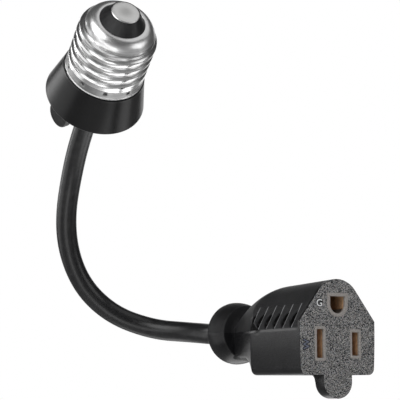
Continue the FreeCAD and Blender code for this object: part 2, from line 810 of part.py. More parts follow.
def contact_carrier():
    block = house(CARRIER_INSET, FACE_WALL, CARRIER_BACK)
    block = block.fuse(slot_rims(CARRIER_FIT, FACE_WALL + 0.5)).removeSplitter()
    floor = FACE_WALL
    depth = CARRIER_BACK - floor + 1
    for centre, width, height in blade_slots():
        block = block.cut(moved(rounded_box(width / 2, height / 2, 0.3, floor + 1), centre))
        w, h = cavity_half(width, height)
        block = block.cut(moved(rounded_box(w, h, 0.1, depth), centre + Vector(0, floor, 0)))
    block = block.cut(ground_prism(0, floor + 1))
    block = block.cut(moved(ground_prism(CAVITY_MARGIN, depth), Vector(0, floor, 0)))
    return block


def carrier_plate():
    plate = house(CARRIER_INSET, CARRIER_BACK + TOUCH, PLATE_BACK)
    for x, z in contact_seats():
        hole = Part.makeBox(TAIL_WIDTH + 0.2, PLATE_THICK * 2, SHEET + 0.2)
        plate = plate.cut(moved(hole, Vector(x - TAIL_WIDTH / 2 - 0.1, CARRIER_BACK - PLATE_THICK / 2, z - SHEET / 2 - 0.1)))
    return plate


def contact_seats():
    return [(-BLADE_SPACING / 2, 0), (BLADE_SPACING / 2, 0), (0, GROUND_RISE)]


def fork(half_mouth, half_pinch, height):
    """Two leaves bent from one sheet, joined by a web at the back, with mouths that flare open."""
    near = FACE_WALL + TOUCH
    far = CARRIER_BACK - TOUCH
    pinch = near + PINCH_AT * (far - near)
    m, p, t = half_mouth, half_pinch, SHEET
    face = outline(
        plan,
        (m - t, near),
        (m, near),
        (p + t, pinch),
        (m, far - t),
        (m, far),
        (-m, far),
        (-m, far - t),
        (-p - t, pinch),
        (-m, near),
        (-m + t, near),
        (-p, pinch),
        (-m + t, far - t),
        (m - t, far - t),
        (p, pinch),
    )
    return moved(face.extrude(Vector(0, 0, height)), Vector(0, 0, -height / 2))


def tail():
    """Flat tail through the rear plate."""
    strip = Part.makeBox(TAIL_WIDTH, PLATE_THICK + TAIL_LENGTH + SHEET, SHEET)
    return moved(strip, Vector(-TAIL_WIDTH / 2, CARRIER_BACK - TOUCH - SHEET, -SHEET / 2))


def barrel():
    start = Vector(0, BARREL_START - SHEET, 0)
    end = Vector(0, BARREL_START + BARREL_LENGTH, 0)
    sleeve = rod(BARREL_RADIUS, start, end)
    return sleeve.cut(rod(STRAND_RADIUS + TOUCH, start + Vector(0, SHEET, 0), end + BACK))


def blade_contact(centre, width, height):
    w, h = cavity_half(width, height)
    spring = fork(w - TOUCH, PINCH_GAP / 2, 2 * (h - 2 * TOUCH))
    contact = spring.fuse([tail(), barrel()]).removeSplitter()
    return moved(contact, centre)


def neutral_contact():
    return blade_contact(*blade_slots()[0])


def hot_contact():
    return blade_contact(*blade_slots()[1])


def ground_contact():
    """Fork that grips the round ground pin, with a bare tail: the lamp holder gives no earth."""
    low = -GROUND_RADIUS * 0.45
    half = math.sqrt((GROUND_RADIUS + CAVITY_MARGIN - TOUCH) ** 2 - low ** 2)
    high = GROUND_FLAT + CAVITY_MARGIN - TOUCH
    spring = fork(half, GROUND_PINCH / 2, high - low)
    spring.translate(Vector(0, 0, (high + low) / 2))
    return moved(spring.fuse(tail()).removeSplitter(), Vector(0, 0, GROUND_RISE))


def outlet_strands(hand):
    x = hand * BLADE_SPACING / 2
    return rod(STRAND_RADIUS, Vector(x, BARREL_START + TOUCH, 0), Vector(x, LEAD_START - TOUCH, 0))


def outlet_lead(hand):
    return tube(outlet_lead_points(hand), LEAD_RADIUS)


# Every piece, placed in the row's frame

def placed(shape, frame):
    copy = shape.copy()
    copy.Placement = frame.multiply(copy.Placement)
    return copy


BASE_PIECES = {
    "screw_shell": screw_shell,
    "tip_insulator": tip_insulator,
    "centre_contact": centre_contact,
    "base_body": base_body,
    "base_cover": base_cover,
    "cord_grip": cord_grip,
    "base_hot_lead": base_hot_lead,
    "base_hot_strands": base_hot_strands,
    "base_neutral_lead": base_neutral_lead,
    "base_neutral_strands": base_neutral_strands,
}
OUTLET_PIECES = {
    "outlet_body": outlet_body,
    "contact_carrier": contact_carrier,
    "carrier_plate": carrier_plate,
    "hot_contact": hot_contact,
    "neutral_contact": neutral_contact,
    "ground_contact": ground_contact,
    "outlet_hot_strands": lambda: outlet_strands(1),
    "outlet_neutral_strands": lambda: outlet_strands(-1),
    "outlet_hot_lead": lambda: outlet_lead(1),
    "outlet_neutral_lead": lambda: outlet_lead(-1),
}


def build():
    os.makedirs("parts", exist_ok=True)
    pieces = {name: placed(make(), BASE_FRAME) for name, make in BASE_PIECES.items()}
    pieces.update({name: placed(make(), OUTLET_FRAME) for name, make in OUTLET_PIECES.items()})
    pieces["cord"] = cord()
    for name, shape in pieces.items():
        solids = len(shape.Solids)
        print(name, "solids", solids, "valid", shape.isValid(), "volume", round(shape.Volume, 2))
        shape.exportStep("parts/" + name + ".step")


build()
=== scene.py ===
import json
import math

import bmesh
import bpy
from mathutils import Matrix, Vector


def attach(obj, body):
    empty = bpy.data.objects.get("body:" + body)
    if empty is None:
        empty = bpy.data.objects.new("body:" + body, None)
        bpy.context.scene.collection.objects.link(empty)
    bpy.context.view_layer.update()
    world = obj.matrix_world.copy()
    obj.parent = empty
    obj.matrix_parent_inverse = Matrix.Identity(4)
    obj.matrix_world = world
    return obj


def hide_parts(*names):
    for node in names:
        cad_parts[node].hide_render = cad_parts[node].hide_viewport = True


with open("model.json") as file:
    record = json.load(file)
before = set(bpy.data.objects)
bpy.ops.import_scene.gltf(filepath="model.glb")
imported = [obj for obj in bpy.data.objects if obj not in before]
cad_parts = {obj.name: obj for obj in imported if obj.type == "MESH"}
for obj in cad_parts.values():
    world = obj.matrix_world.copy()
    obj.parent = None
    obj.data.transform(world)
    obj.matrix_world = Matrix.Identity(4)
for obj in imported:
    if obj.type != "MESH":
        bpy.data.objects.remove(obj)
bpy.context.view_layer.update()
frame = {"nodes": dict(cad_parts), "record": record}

bl_info = {
    "name": "Lamp socket adapter",
    "version": (1, 0, 0),
    "blender": (4, 5, 0),
    "location": "3D View > Sidebar > Adapter",
    "description": "Makes a screw lamp base, a short round cord and a grounded outlet",
    "category": "Object",
}

MM = 0.001
BASE = Matrix.Rotation(math.radians(-7.5), 4, "Z") @ Matrix.Rotation(math.radians(59.0), 4, "X")
OUTLET = Matrix.Translation(Vector((54.0, -54.9, -89.7)) * MM)
AXIS_HEIGHT = 4.9
CAMERA_TURN, CAMERA_LIFT, CAMERA_LENS = math.radians(-27.61), math.radians(-6.97), 135.0
CAMERA_PLACE = Vector((-195.58, -441.39, -101.68)) * MM

# Base, in millimetres along its axis: punch marks, cover and lug
MARK_COUNT, MARK_START, MARK_HEIGHT = 10, math.radians(-100), 2.4
COVER_BACK, COVER_RADIUS = -13.0, 15.28
LUG_TURN, LUG_HALF, LUG_DROP = math.radians(-152), 4.5, 7.05
LUG_CENTRE = COVER_BACK + LUG_HALF - LUG_DROP

# Cord route, in metres
ROUTE = [
    (0.00067, 0.00510, -0.00309),
    (0.00236, 0.01793, -0.01087),
    (0.00388, 0.03436, -0.02537),
    (0.00507, 0.04594, -0.04734),
    (0.01281, 0.05152, -0.06502),
    (0.02537, 0.05177, -0.07671),
    (0.03942, 0.04513, -0.08253),
    (0.04950, 0.03366, -0.08372),
    (0.05400, 0.02210, -0.08480),
    (0.05400, 0.00960, -0.08480),
]


# Node trees written as expressions

class Num:
    """One number's socket in a node tree; arithmetic on it adds Math nodes."""

    def __init__(self, tree, socket):
        self.tree = tree
        self.socket = socket

    def _math(self, operation, *values):
        return self.tree.add("ShaderNodeMath", {"operation": operation}, dict(enumerate(values)))

    def __add__(self, other):
        return self._math("ADD", self, other)

    def __radd__(self, other):
        return self._math("ADD", other, self)

    def __sub__(self, other):
        return self._math("SUBTRACT", self, other)

    def __rsub__(self, other):
        return self._math("SUBTRACT", other, self)

    def __mul__(self, other):
        return self._math("MULTIPLY", self, other)

    def __rmul__(self, other):
        return self._math("MULTIPLY", other, self)

    def __truediv__(self, other):
        return self._math("DIVIDE", self, other)

    def __pow__(self, other):
        return self._math("POWER", self, other)

    def __lt__(self, other):
        return self._math("LESS_THAN", self, other)

    def __gt__(self, other):
        return self._math("GREATER_THAN", self, other)

    def call(self, operation, *others):
        return self._math(operation, self, *others)

    def ramp(self, low, high):
        """0 below low, 1 above high, and a smooth rise between."""
        settings = {"interpolation_type": "SMOOTHSTEP"}
        return self.tree.add("ShaderNodeMapRange", settings, {"Value": self, "From Min": low, "From Max": high})


class Tree:
    """A node tree that expressions are written into."""

    def __init__(self, tree):
        self.tree = tree

    def add(self, kind, settings=None, inputs=None, out=0):
        node = self.tree.nodes.new(kind)
        for name, value in (settings or {}).items():
            setattr(node, name, value)
        for name, value in (inputs or {}).items():
            socket = node.inputs[name]
            if isinstance(value, Num):
                self.tree.links.new(value.socket, socket)
            else:
                socket.default_value = value
        return Num(self, node.outputs[out])

    def split(self, vector):
        node = self.tree.nodes.new("ShaderNodeSeparateXYZ")
        self.tree.links.new(vector.socket, node.inputs[0])
        return [Num(self, s) for s in node.outputs]

    def join(self, x, y, z):
        return self.add("ShaderNodeCombineXYZ", None, {0: x, 1: y, 2: z})

    def mix(self, share, a, b):
        """Colour a turning into colour b by share."""
        return self.add("ShaderNodeMix", {"data_type": "RGBA"}, {0: share, 6: a, 7: b}, out=2)

    def rays(self, *kinds):
        """Outputs of a Light Path node, each 1 on its kind of ray and 0 on others."""
        path = self.tree.nodes.new("ShaderNodeLightPath")
        return [Num(self, path.outputs[kind]) for kind in kinds]


class Finish(Tree):
    """A material on one Principled shader, with its surface made of expressions."""

    def __init__(self, name, **constants):
        material = bpy.data.materials.new(name)
        material.use_nodes = True
        super().__init__(material.node_tree)
        self.material = material
        self.shader = material.node_tree.nodes["Principled BSDF"]
        for socket, value in constants.items():
            self.shader.inputs[socket.replace("_", " ")].default_value = value
        self.place = self.add("ShaderNodeTexCoord", None, None, out=3)

    def set(self, socket, value):
        target = self.shader.inputs[socket]
        if isinstance(value, Num):
            self.tree.links.new(value.socket, target)
        else:
            target.default_value = value

    def mapped(self, end, scale=(1, 1, 1)):
        """Object coordinates in one end's own frame, in millimetres."""
        inverse = end.inverted()
        inputs = {
            "Vector": self.place,
            "Location": [v / MM for v in inverse.translation],
            "Rotation": inverse.to_euler(),
            "Scale": (1 / MM, 1 / MM, 1 / MM),
        }
        moved = self.add("ShaderNodeMapping", {"vector_type": "POINT"}, inputs)
        return self.add("ShaderNodeVectorMath", {"operation": "MULTIPLY"}, {0: moved, 1: scale})

    def noise(self, vector, scale, detail=3.0, roughness=0.55):
        inputs = {"Vector": vector, "Scale": scale, "Detail": detail, "Roughness": roughness}
        return self.add("ShaderNodeTexNoise", None, inputs)

    def cells(self, vector, scale, out=0):
        """Cells with the distance from each one's middle, or its own colour with out=1."""
        return self.add("ShaderNodeTexVoronoi", None, {"Vector": vector, "Scale": scale}, out=out)

    def bump(self, height, distance, strength):
        inputs = {"Height": height, "Distance": distance, "Strength": strength}
        self.set("Normal", self.add("ShaderNodeBump", None, inputs))

    def surface(self, colour, roughness, height, distance, strength):
        """Sets the base colour, the roughness and the bump, and gives the material."""
        self.set("Base Color", colour)
        self.set("Roughness", roughness)
        self.bump(height, distance, strength)
        return self.material

    def round_place(self, end):
        """Position in an end's own frame; angle round its axis, distance from it and height, in millimetres."""
        p = self.mapped(end)
        x, y, z = self.split(p)
        return p, y.call("ARCTAN2", x), (x * x + y * y).call("SQRT"), z


def grey(tone):
    return (tone, tone, tone, 1)


# Finishes; heights and radii in millimetres in the end's own frame

RIM_TOP, SKIRT_TOP, WALL_LOW, WALL_HIGH, DOME_DULL, DRAWN_HIGH = 0.75, 3.6, 3.4, 19.5, 20.0, 21.0


def nickel():
    """Shell: painted shade in the thread's roots, dark punch marks, a duller skirt, rim and shoulder, fine drawing
    lines.
    """
    f = Finish("bright_nickel", Metallic=1.0)
    p, angle, radius, height = f.round_place(BASE)
    lines = f.noise(f.join(angle * 0.6, radius * 6.0, height * 14.0), 1.0, 4.0)
    drawn = f.noise(f.join(angle * 0.9, radius * 3.0, height * 4.5), 1.0, 3.0).ramp(0.50, 0.66)
    cloud = f.noise(p, 0.35, 4.0)
    fleck = f.noise(p, 3.2, 5.0, 0.7).ramp(0.62, 0.78)
    # Mask of the thread's roots: shade is painted into the colour there, and the roughness is raised
    root = (12.95 - radius).ramp(0.05, 0.6) * (height < WALL_HIGH) * (height > WALL_LOW)
    rim = height < RIM_TOP
    skirt = (height < SKIRT_TOP) * (height > RIM_TOP)
    dome = height > DOME_DULL
    marks = ((angle - MARK_START) * MARK_COUNT).call("COSINE").ramp(0.80, 0.97)
    marks = marks * (0.75 - (height - MARK_HEIGHT).call("ABSOLUTE")).ramp(0.0, 0.4) * cloud.ramp(0.36, 0.50)
    # Painted shade in the thread's roots, mixed with flecks, drawing streaks, cloud and the duller skirt
    wear_and_painted_shade = root * 0.60 + fleck * 0.2 + drawn * 0.30 * (height < DRAWN_HIGH)
    wear_and_painted_shade = wear_and_painted_shade + cloud.ramp(0.45, 0.75) * 0.15 + skirt * 0.85
    colour = f.mix(marks * 0.92, f.mix(wear_and_painted_shade, grey(0.97), grey(0.33)), grey(0.03))
    rough = 0.15 + lines * 0.10 + cloud.ramp(0.4, 0.7) * 0.05
    rough = rough + root * 0.08 + skirt * 0.22 + dome * 0.10 + rim * 0.2
    return f.surface(colour, rough, lines * 0.5 + cloud * 0.5, 0.00001, 0.35)


def nose_plastic():
    f = Finish("nose_black", Specular_IOR_Level=0.62)
    p, angle, _, height = f.round_place(BASE)
    streak = f.noise(f.join(angle * 5.0, height * 0.4, 0.0), 1.0, 4.0)
    speck = f.noise(p, 5.0, 4.0)
    colour = f.mix(streak.ramp(0.35, 0.8), (0.006, 0.006, 0.007, 1), (0.022, 0.022, 0.023, 1))
    return f.surface(colour, 0.32 + streak * 0.10 + speck * 0.06, streak * 0.4 + speck * 0.2, 0.00002, 0.3)


def button_metal():
    """Contact button: a painted dark reflection darkens its middle; turned and scratched."""
    f = Finish("contact_tin", Metallic=1.0)
    p, angle, radius, _ = f.round_place(BASE)
    turned = f.noise(f.join(angle * 0.3, radius * 18.0, 0.0), 1.0, 3.0)
    scratch = f.noise(f.mapped(BASE, (1.0, 7.0, 1.0)), 1.6, 5.0).ramp(0.6, 0.75)
    cloud = f.noise(p, 0.7, 3.0)
    # Painted dark reflection: darker towards the middle, mixed with cloud and scratches
    wear_and_painted_shade = (1 - radius.ramp(0.4, 3.2)) * 0.45 + cloud * 0.2 + scratch * 0.2
    colour = f.mix(wear_and_painted_shade, (0.94, 0.94, 0.93, 1), (0.36, 0.36, 0.35, 1))
    return f.surface(colour, 0.30 + turned * 0.14 + scratch * 0.1, turned * 0.4 + scratch * 0.6, 0.00001, 0.4)


def cap_plastic():
    """Cap, cover and lug: glossy black, with painted highlights along the cap's lower edge and the lug's rim."""
    f = Finish("cap_black", Specular_IOR_Level=0.36)
    p, angle, radius, height = f.round_place(BASE)
    x, y, z = f.split(p)
    grain = f.noise(p, 9.0, 3.0)
    flow = f.noise(f.join(angle * 1.6, height * 0.15, 0.0), 1.0, 3.0)
    dust = f.noise(p, 2.6, 6.0, 0.7).ramp(0.66, 0.8)
    # Painted highlight along the cap's lower outer edge
    edge = (-12.5 - height).ramp(0.0, 0.2) * (radius > 16.35)
    across = y * math.cos(LUG_TURN) - x * math.sin(LUG_TURN)
    down = (z - LUG_CENTRE).call("MINIMUM", 0.0)
    # Painted highlight along the lug's rim
    rim = (across * across + down * down).call("SQRT").ramp(LUG_HALF - 0.5, LUG_HALF - 0.15) * (z < COVER_BACK - 0.2)
    black = f.mix(dust * 0.25 + flow * 0.25, (0.004, 0.004, 0.0045, 1), (0.022, 0.022, 0.023, 1))
    # The pale grey on these edges is painted highlight
    colour = f.mix(edge.call("MAXIMUM", rim), black, grey(0.10))
    return f.surface(colour, 0.23 + grain * 0.10 + flow * 0.05, grain, 0.00002, 0.35)


def cord_jacket():
    f = Finish("cord_black", Specular_IOR_Level=0.56)
    uv = f.add("ShaderNodeAttribute", {"attribute_name": "around_along"}, None, out=1)
    around, along, _ = f.split(uv)
    lines = f.noise(f.join(around * 60.0, along * 0.25, 0.0), 1.0, 3.0)
    grain = f.noise(f.mapped(OUTLET), 7.0, 3.0)
    smear = f.noise(f.mapped(OUTLET), 0.5, 4.0)
    colour = f.mix(smear.ramp(0.4, 0.75) * 0.6, (0.011, 0.011, 0.012, 1), (0.030, 0.030, 0.031, 1))
    return f.surface(colour, 0.24 + grain * 0.10 + smear * 0.06, lines * 0.6 + grain * 0.4, 0.00003, 0.4)


def outlet_vinyl():
    """Moulded vinyl: stippled slopes, smooth sides, a fine pale speckle on the face."""
    f = Finish("outlet_charcoal", Specular_IOR_Level=0.26)
    p = f.mapped(OUTLET)
    x, y, z = f.split(p)
    wide = x.call("ABSOLUTE")
    grain, other, _ = f.split(f.cells(p, 7.0, out=1))
    stipple = f.cells(p, 2.2)
    fine = f.noise(p, 8.0, 3.0)
    broad = f.noise(p, 0.16, 3.0)

    # Face, and letters in painted light
    face = (y < FACE_BACK + 0.12) * (y > FACE_BACK - 0.015)
    letter = (y < 0.045) * (y > -0.05)
    face_black = (0.004, 0.004, 0.006, 1)
    tint = f.mix(other, (0.86, 0.93, 1.0, 1), (1.0, 0.93, 0.86, 1))
    pale = f.mix(grain.ramp(0.50, 0.56) * (0.5 + other * 0.5), face_black, tint)
    pale = f.mix(0.36, pale, face_black)
    # Painted light on the letters: the upper letter pale as a painted highlight, the lower one dark blue-grey as
    # painted shade
    painted_letter_light = f.mix((z - 5.0).ramp(0.0, 1.0), (0.16, 0.18, 0.24, 1), (0.80, 0.81, 0.82, 1))

    # Grips: painted shade in the grooves, painted highlight along the ridges' crests
    beat = ((y - GRIP_FIRST + GRIP_PITCH * 10.5).call("MODULO", GRIP_PITCH) - GRIP_PITCH / 2).call("ABSOLUTE")
    grips = (y > 4.0) * (y < 33.8) * (z > 4.6) * (z < 12.3)
    grips = grips * (wide + (y - BODY_LENGTH).call("MAXIMUM", 0.0) * TAPER < HALF_WIDTH - 0.12)
    low, high = flat_ends()
    nx, nz = (high[1] - low[1]) / FLAT_LENGTH, (low[0] - high[0]) / FLAT_LENGTH
    sunk = (low[0] * nx + low[1] * nz - wide * nx - z * nz).ramp(0.06, 0.4) * grips
    painted_crest_highlight = (0.26 - beat).ramp(0.0, 0.14) * grips * (z > 4.9) * (1 - sunk)

    # Painted highlights along the side's lower edge and its back edge
    lower_edge_highlight = (0.16 - (z - BOTTOM - 2.1).call("ABSOLUTE")).ramp(0.0, 0.12) * (wide > 13.2) * (y > 0.5)
    back = (0.2 - (y - BODY_LENGTH).call("ABSOLUTE")).ramp(0.0, 0.15) * (wide > 13.0) * (z > BOTTOM + 1.5)

    dark = f.mix(broad.ramp(0.3, 0.7), (0.006, 0.006, 0.007, 1), (0.011, 0.011, 0.012, 1))
    # Painted shade in the grooves
    dark = f.mix(sunk, dark, grey(0.002))
    # Painted highlight along the crests
    dark = f.mix(painted_crest_highlight * (0.7 + fine * 0.5), dark, (0.30, 0.30, 0.31, 1))
    # Painted highlights along the lower and back edges
    dark = f.mix(lower_edge_highlight.call("MAXIMUM", back), dark, (0.06, 0.06, 0.065, 1))
    dark = f.mix(letter, dark, painted_letter_light)
    upper = (z - 4.75).ramp(0.0, 0.3) * (y > 1.2)
    matt = 0.24 + fine * 0.06 + face * 0.3 + upper * 0.24
    relief = (stipple * 0.35 + fine * 0.4) * upper * (1 - sunk) + fine * 0.15 + grain * face
    return f.surface(f.mix(face, dark, pale), matt * (1 - sunk) + 0.10 * sunk, relief, 0.0001, 0.5)


def carrier_plastic():
    f = Finish("carrier_taupe")
    coarse = f.noise(f.mapped(OUTLET), 4.5, 5.0, 0.7)
    colour = f.mix(coarse.ramp(0.38, 0.62), (0.22, 0.20, 0.19, 1), (0.52, 0.49, 0.46, 1))
    return f.surface(colour, 0.48 + coarse * 0.2, coarse, 0.00006, 0.5)


def contact_brass():
    f = Finish("contact_brass", Metallic=0.1)
    rolled = f.noise(f.mapped(OUTLET, (6.0, 1.0, 1.0)), 1.5, 4.0)
    stain = f.noise(f.mapped(OUTLET), 0.8, 4.0)
    colour = f.mix(stain.ramp(0.35, 0.75), (0.66, 0.42, 0.25, 1), (0.46, 0.27, 0.15, 1))
    return f.surface(colour, 0.34 + rolled * 0.2, rolled, 0.00001, 0.4)


def ferrule_metal():
    f = Finish("ferrule_zinc", Metallic=1.0)
    p = f.mapped(BASE)
    spangle = f.cells(p, 1.4)
    grain = f.noise(p, 4.0, 4.0)
    colour = f.mix(spangle * 0.6, (0.62, 0.62, 0.60, 1), (0.42, 0.43, 0.43, 1))
    return f.surface(colour, 0.3 + grain * 0.2, grain, 0.00001, 0.3)


def core_vinyl(name, light, deep):
    f = Finish(name)
    grain = f.noise(f.mapped(OUTLET), 6.0, 3.0)
    return f.surface(f.mix(grain.ramp(0.3, 0.7), light, deep), 0.38 + grain * 0.14, grain, 0.00002, 0.3)


def bare_copper():
    f = Finish("bare_copper", Metallic=1.0)
    p = f.mapped(OUTLET)
    x, y, z = f.split(p)
    strand = ((x + z) * 9.0 + y * 4.0).call("SINE")
    cloud = f.noise(p, 2.0, 3.0)
    colour = f.mix(cloud, (0.86, 0.47, 0.30, 1), (0.60, 0.28, 0.16, 1))
    return f.surface(colour, 0.22 + cloud * 0.16, strand, 0.00008, 0.5)


FINISHES = {}


def finish_for(slot):
    """The material of a slot, made at its first use."""
    makers = {
        "shell_metal": nickel,
        "nose_plastic": nose_plastic,
        "contact_metal": button_metal,
        "cap_plastic": cap_plastic,
        "ferrule_metal": ferrule_metal,
        "core_black": lambda: core_vinyl("core_black", grey(0.02), grey(0.04)),
        "core_white": lambda: core_vinyl("core_white", (0.80, 0.80, 0.77, 1), (0.70, 0.70, 0.67, 1)),
        "bare_copper": bare_copper,
        "cord_jacket": cord_jacket,
        "outlet_vinyl": outlet_vinyl,
        "carrier_plastic": carrier_plastic,
        "contact_brass": contact_brass,
    }
    if slot not in FINISHES:
        FINISHES[slot] = makers[slot]()
    return FINISHES[slot]


# Mesh helpers

def linked(name, data):
    """Object for a mesh, curve, light or camera, in the scene."""
    thing = bpy.data.objects.new(name, data)
    bpy.context.scene.collection.objects.link(thing)
    return thing


def evaluated(thing):
    """New mesh of an object, as its modifiers or its curve make it."""
    graph = bpy.context.evaluated_depsgraph_get()
    graph.update()
    return bpy.data.meshes.new_from_object(thing.evaluated_get(graph))


def new_mesh(name, points, faces, place):
    """Object from points in millimetres in one end's own frame."""
    mesh = bpy.data.meshes.new(name)
    mesh.from_pydata([tuple(p) for p in points], [], [tuple(f) for f in faces])
    mesh.transform(place @ Matrix.Scale(MM, 4))
    return linked(name, mesh)


def grid_faces(rows, columns, close_rows=False):
    """Quads over rows of closed rings."""
    faces = []
    for i in range(rows if close_rows else rows - 1):
        low = i * columns
        high = ((i + 1) % rows) * columns
        for j in range(columns):
            k = (j + 1) % columns
            faces.append((low + j, low + k, high + k, high + j))
    return faces


def ring_points(radius, height, sides):
    turns = [2 * math.pi * j / sides for j in range(sides)]
    return [(radius * math.cos(t), radius * math.sin(t), height) for t in turns]


def lathe(name, outline, place, sides=192):
    """Closed outline of (radius, height) points turned about the axis; points on the axis close it."""
    on_axis = [i for i, (r, _) in enumerate(outline) if r < 1e-6]
    rings = [p for p in outline if p[0] >= 1e-6]
    points = [q for r, z in rings for q in ring_points(r, z, sides)]
    faces = grid_faces(len(rings), sides, close_rows=not on_axis)
    if on_axis:
        first, last = outline[on_axis[0]], outline[on_axis[-1]]
        low = len(points)
        points.append((0, 0, first[1]))
        faces += [(low, (j + 1) % sides, j) for j in range(sides)]
        high = len(points)
        points.append((0, 0, last[1]))
        base = (len(rings) - 1) * sides
        faces += [(high, base + j, base + (j + 1) % sides) for j in range(sides)]
    piece = new_mesh(name, points, faces, place)
    outward(piece)
    return piece


def outward(piece):
    """Turns the faces of a closed mesh to point outwards."""
    work = bmesh.new()
    work.from_mesh(piece.data)
    bmesh.ops.remove_doubles(work, verts=work.verts, dist=1e-7)
    bmesh.ops.recalc_face_normals(work, faces=work.faces)
    work.to_mesh(piece.data)
    work.free()


def tube(name, rings, place):
    """Closed solid through rings that have as many points each."""
    count = len(rings[0])
    faces = grid_faces(len(rings), count)
    faces += [tuple(range(count)), tuple((len(rings) - 1) * count + j for j in range(count))]
    piece = new_mesh(name, [p for ring in rings for p in ring], faces, place)
    outward(piece)
    return piece


def prism(name, outline, near, far, place):
    """Outline of (x, z) points drawn back from one depth to another."""
    return tube(name, [[(x, depth, z) for x, z in outline] for depth in (near, far)], place)


def smooth(piece, degrees):
    """Smooth shading, with edges sharper than an angle kept."""
    piece.data.shade_smooth()
    piece.data.set_sharp_from_angle(angle=math.radians(degrees))


def spaced(start, end, steps):
    """Numbers from start to end, both included."""
    return [start + (end - start) * i / steps for i in range(steps + 1)]


def arc(centre, radius, start, end, steps):
    """Points on an arc between two angles in degrees."""
    turns = [math.radians(turn) for turn in spaced(start, end, steps)]
    return [(centre[0] + radius * math.cos(t), centre[1] + radius * math.sin(t)) for t in turns]


def wear(piece, slot, *nodes):
    """Gives a finished piece its material and its body, and hides the CAD nodes that it stands for."""
    piece.data.materials.clear()
    piece.data.materials.append(finish_for(slot))
    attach(piece, "root")
    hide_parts(*nodes)


def joined(name, pieces):
    """One mesh object from several, in place."""
    bpy.ops.object.select_all(action="DESELECT")
    for piece in pieces:
        piece.select_set(True)
    bpy.context.view_layer.objects.active = pieces[0]
    bpy.ops.object.join()
    whole = bpy.context.view_layer.objects.active
    whole.name = name
    return whole


def boolean(piece, tool, operation):
    """Joins or cuts with a second mesh, which is then removed."""
    modifier = piece.modifiers.new("boolean", "BOOLEAN")
    modifier.operation = operation
    modifier.solver = "EXACT"
    modifier.object = tool
    bake(piece)
    bpy.data.objects.remove(tool)


def bake(piece):
    """Replaces a piece's mesh by what its modifiers make of it."""
    mesh = evaluated(piece)
    piece.modifiers.clear()
    piece.data = mesh


# Screw shell; Geometry Nodes press the rolled thread into the plain wall

MOUTH, DOME_FOOT, DOME_START, DOME_TOP = 7.6, 11.6, 18.5, 23.05
THREAD_DEPTH, THREAD_END, THREAD_RUN = 0.7, 21.2, 3.7
SKIRT_RADIUS, SHEET, LIP = 13.1, 0.3, 0.16


def thread_tree():
    """Node group that sinks a turned wall into a rolled thread."""
    group = bpy.data.node_groups.new("rolled_thread", "GeometryNodeTree")
    face = group.interface
    face.new_socket("Geometry", in_out="INPUT", socket_type="NodeSocketGeometry")
    sizes = (
        ("Pitch", 25.4 / 7),
        ("Depth", THREAD_DEPTH),
        ("Start", 4.2),
        ("End", THREAD_END),
        ("Run In", 1.3),
        ("Run Out", THREAD_RUN),
        ("Root Height", 10.6),
        ("Root Angle", math.radians(-74.3)),
    )
    for name, value in sizes:
        face.new_socket(name, in_out="INPUT", socket_type="NodeSocketFloat").default_value = value
    face.new_socket("Material", in_out="INPUT", socket_type="NodeSocketMaterial")
    face.new_socket("Geometry", in_out="OUTPUT", socket_type="NodeSocketGeometry")
    t = Tree(group)
    entry = group.nodes.new("NodeGroupInput")
    given = {s.name: Num(t, s) for s in entry.outputs}
    x, y, z = t.split(t.add("GeometryNodeInputPosition"))
    radius = (x * x + y * y).call("SQRT")
    angle = y.call("ARCTAN2", x)
    phase = (z - given["Root Height"]) / given["Pitch"] * (2 * math.pi) - angle + given["Root Angle"]
    rise = ((z - given["Start"]) / given["Run In"]).call("MINIMUM", 1.0).call("MAXIMUM", 0.0)
    fall = ((given["End"] - z) / given["Run Out"]).call("MINIMUM", 1.0).call("MAXIMUM", 0.0)
    wave = (phase.call("COSINE") + 1) * 0.5
    depth = (wave ** 1.5) * given["Depth"] * rise * rise * (3 - 2 * rise) * fall * fall * (3 - 2 * fall)
    shrink = depth / radius
    offset = t.join(0 - x * shrink, 0 - y * shrink, 0.0)
    moved = t.add("GeometryNodeSetPosition", None, {"Geometry": given["Geometry"], "Offset": offset})
    real = t.add("GeometryNodeRealizeInstances", None, {"Geometry": moved})
    done = t.add("GeometryNodeSetMaterial", None, {"Geometry": real, "Material": given["Material"]})
    leave = group.nodes.new("NodeGroupOutput")
    group.links.new(done.socket, leave.inputs[0])
    return group


def grow_with(piece, group, **values):
    """Adds a Geometry Nodes modifier, sets its inputs by identifier and bakes it."""
    modifier = piece.modifiers.new(group.name, "NODES")
    modifier.node_group = group
    for item in group.interface.items_tree:
        key = item.name.replace(" ", "_")
        if item.item_type == "SOCKET" and item.in_out == "INPUT" and key in values:
            modifier[item.identifier] = values[key]
    bake(piece)


def clamped(share):
    return min(max(share, 0.0), 1.0)


def eased(share):
    share = clamped(share)
    return share * share * (3 - 2 * share)


def dome_radius(z):
    """Radius of the rounded shoulder over the thread."""
    share = clamped((z - DOME_START) / (DOME_TOP - DOME_START))
    return MOUTH + (DOME_FOOT - MOUTH) * math.sqrt(1 - share * share)


def crest_radius(z):
    """Outermost radius at a height: full over the thread, running out over the shoulder."""
    share = eased((z - 16.6) / 3.6)
    root = (SKIRT_RADIUS - THREAD_DEPTH) * (1 - share) + dome_radius(z) * share
    return root + THREAD_DEPTH * eased((THREAD_END - z) / THREAD_RUN)


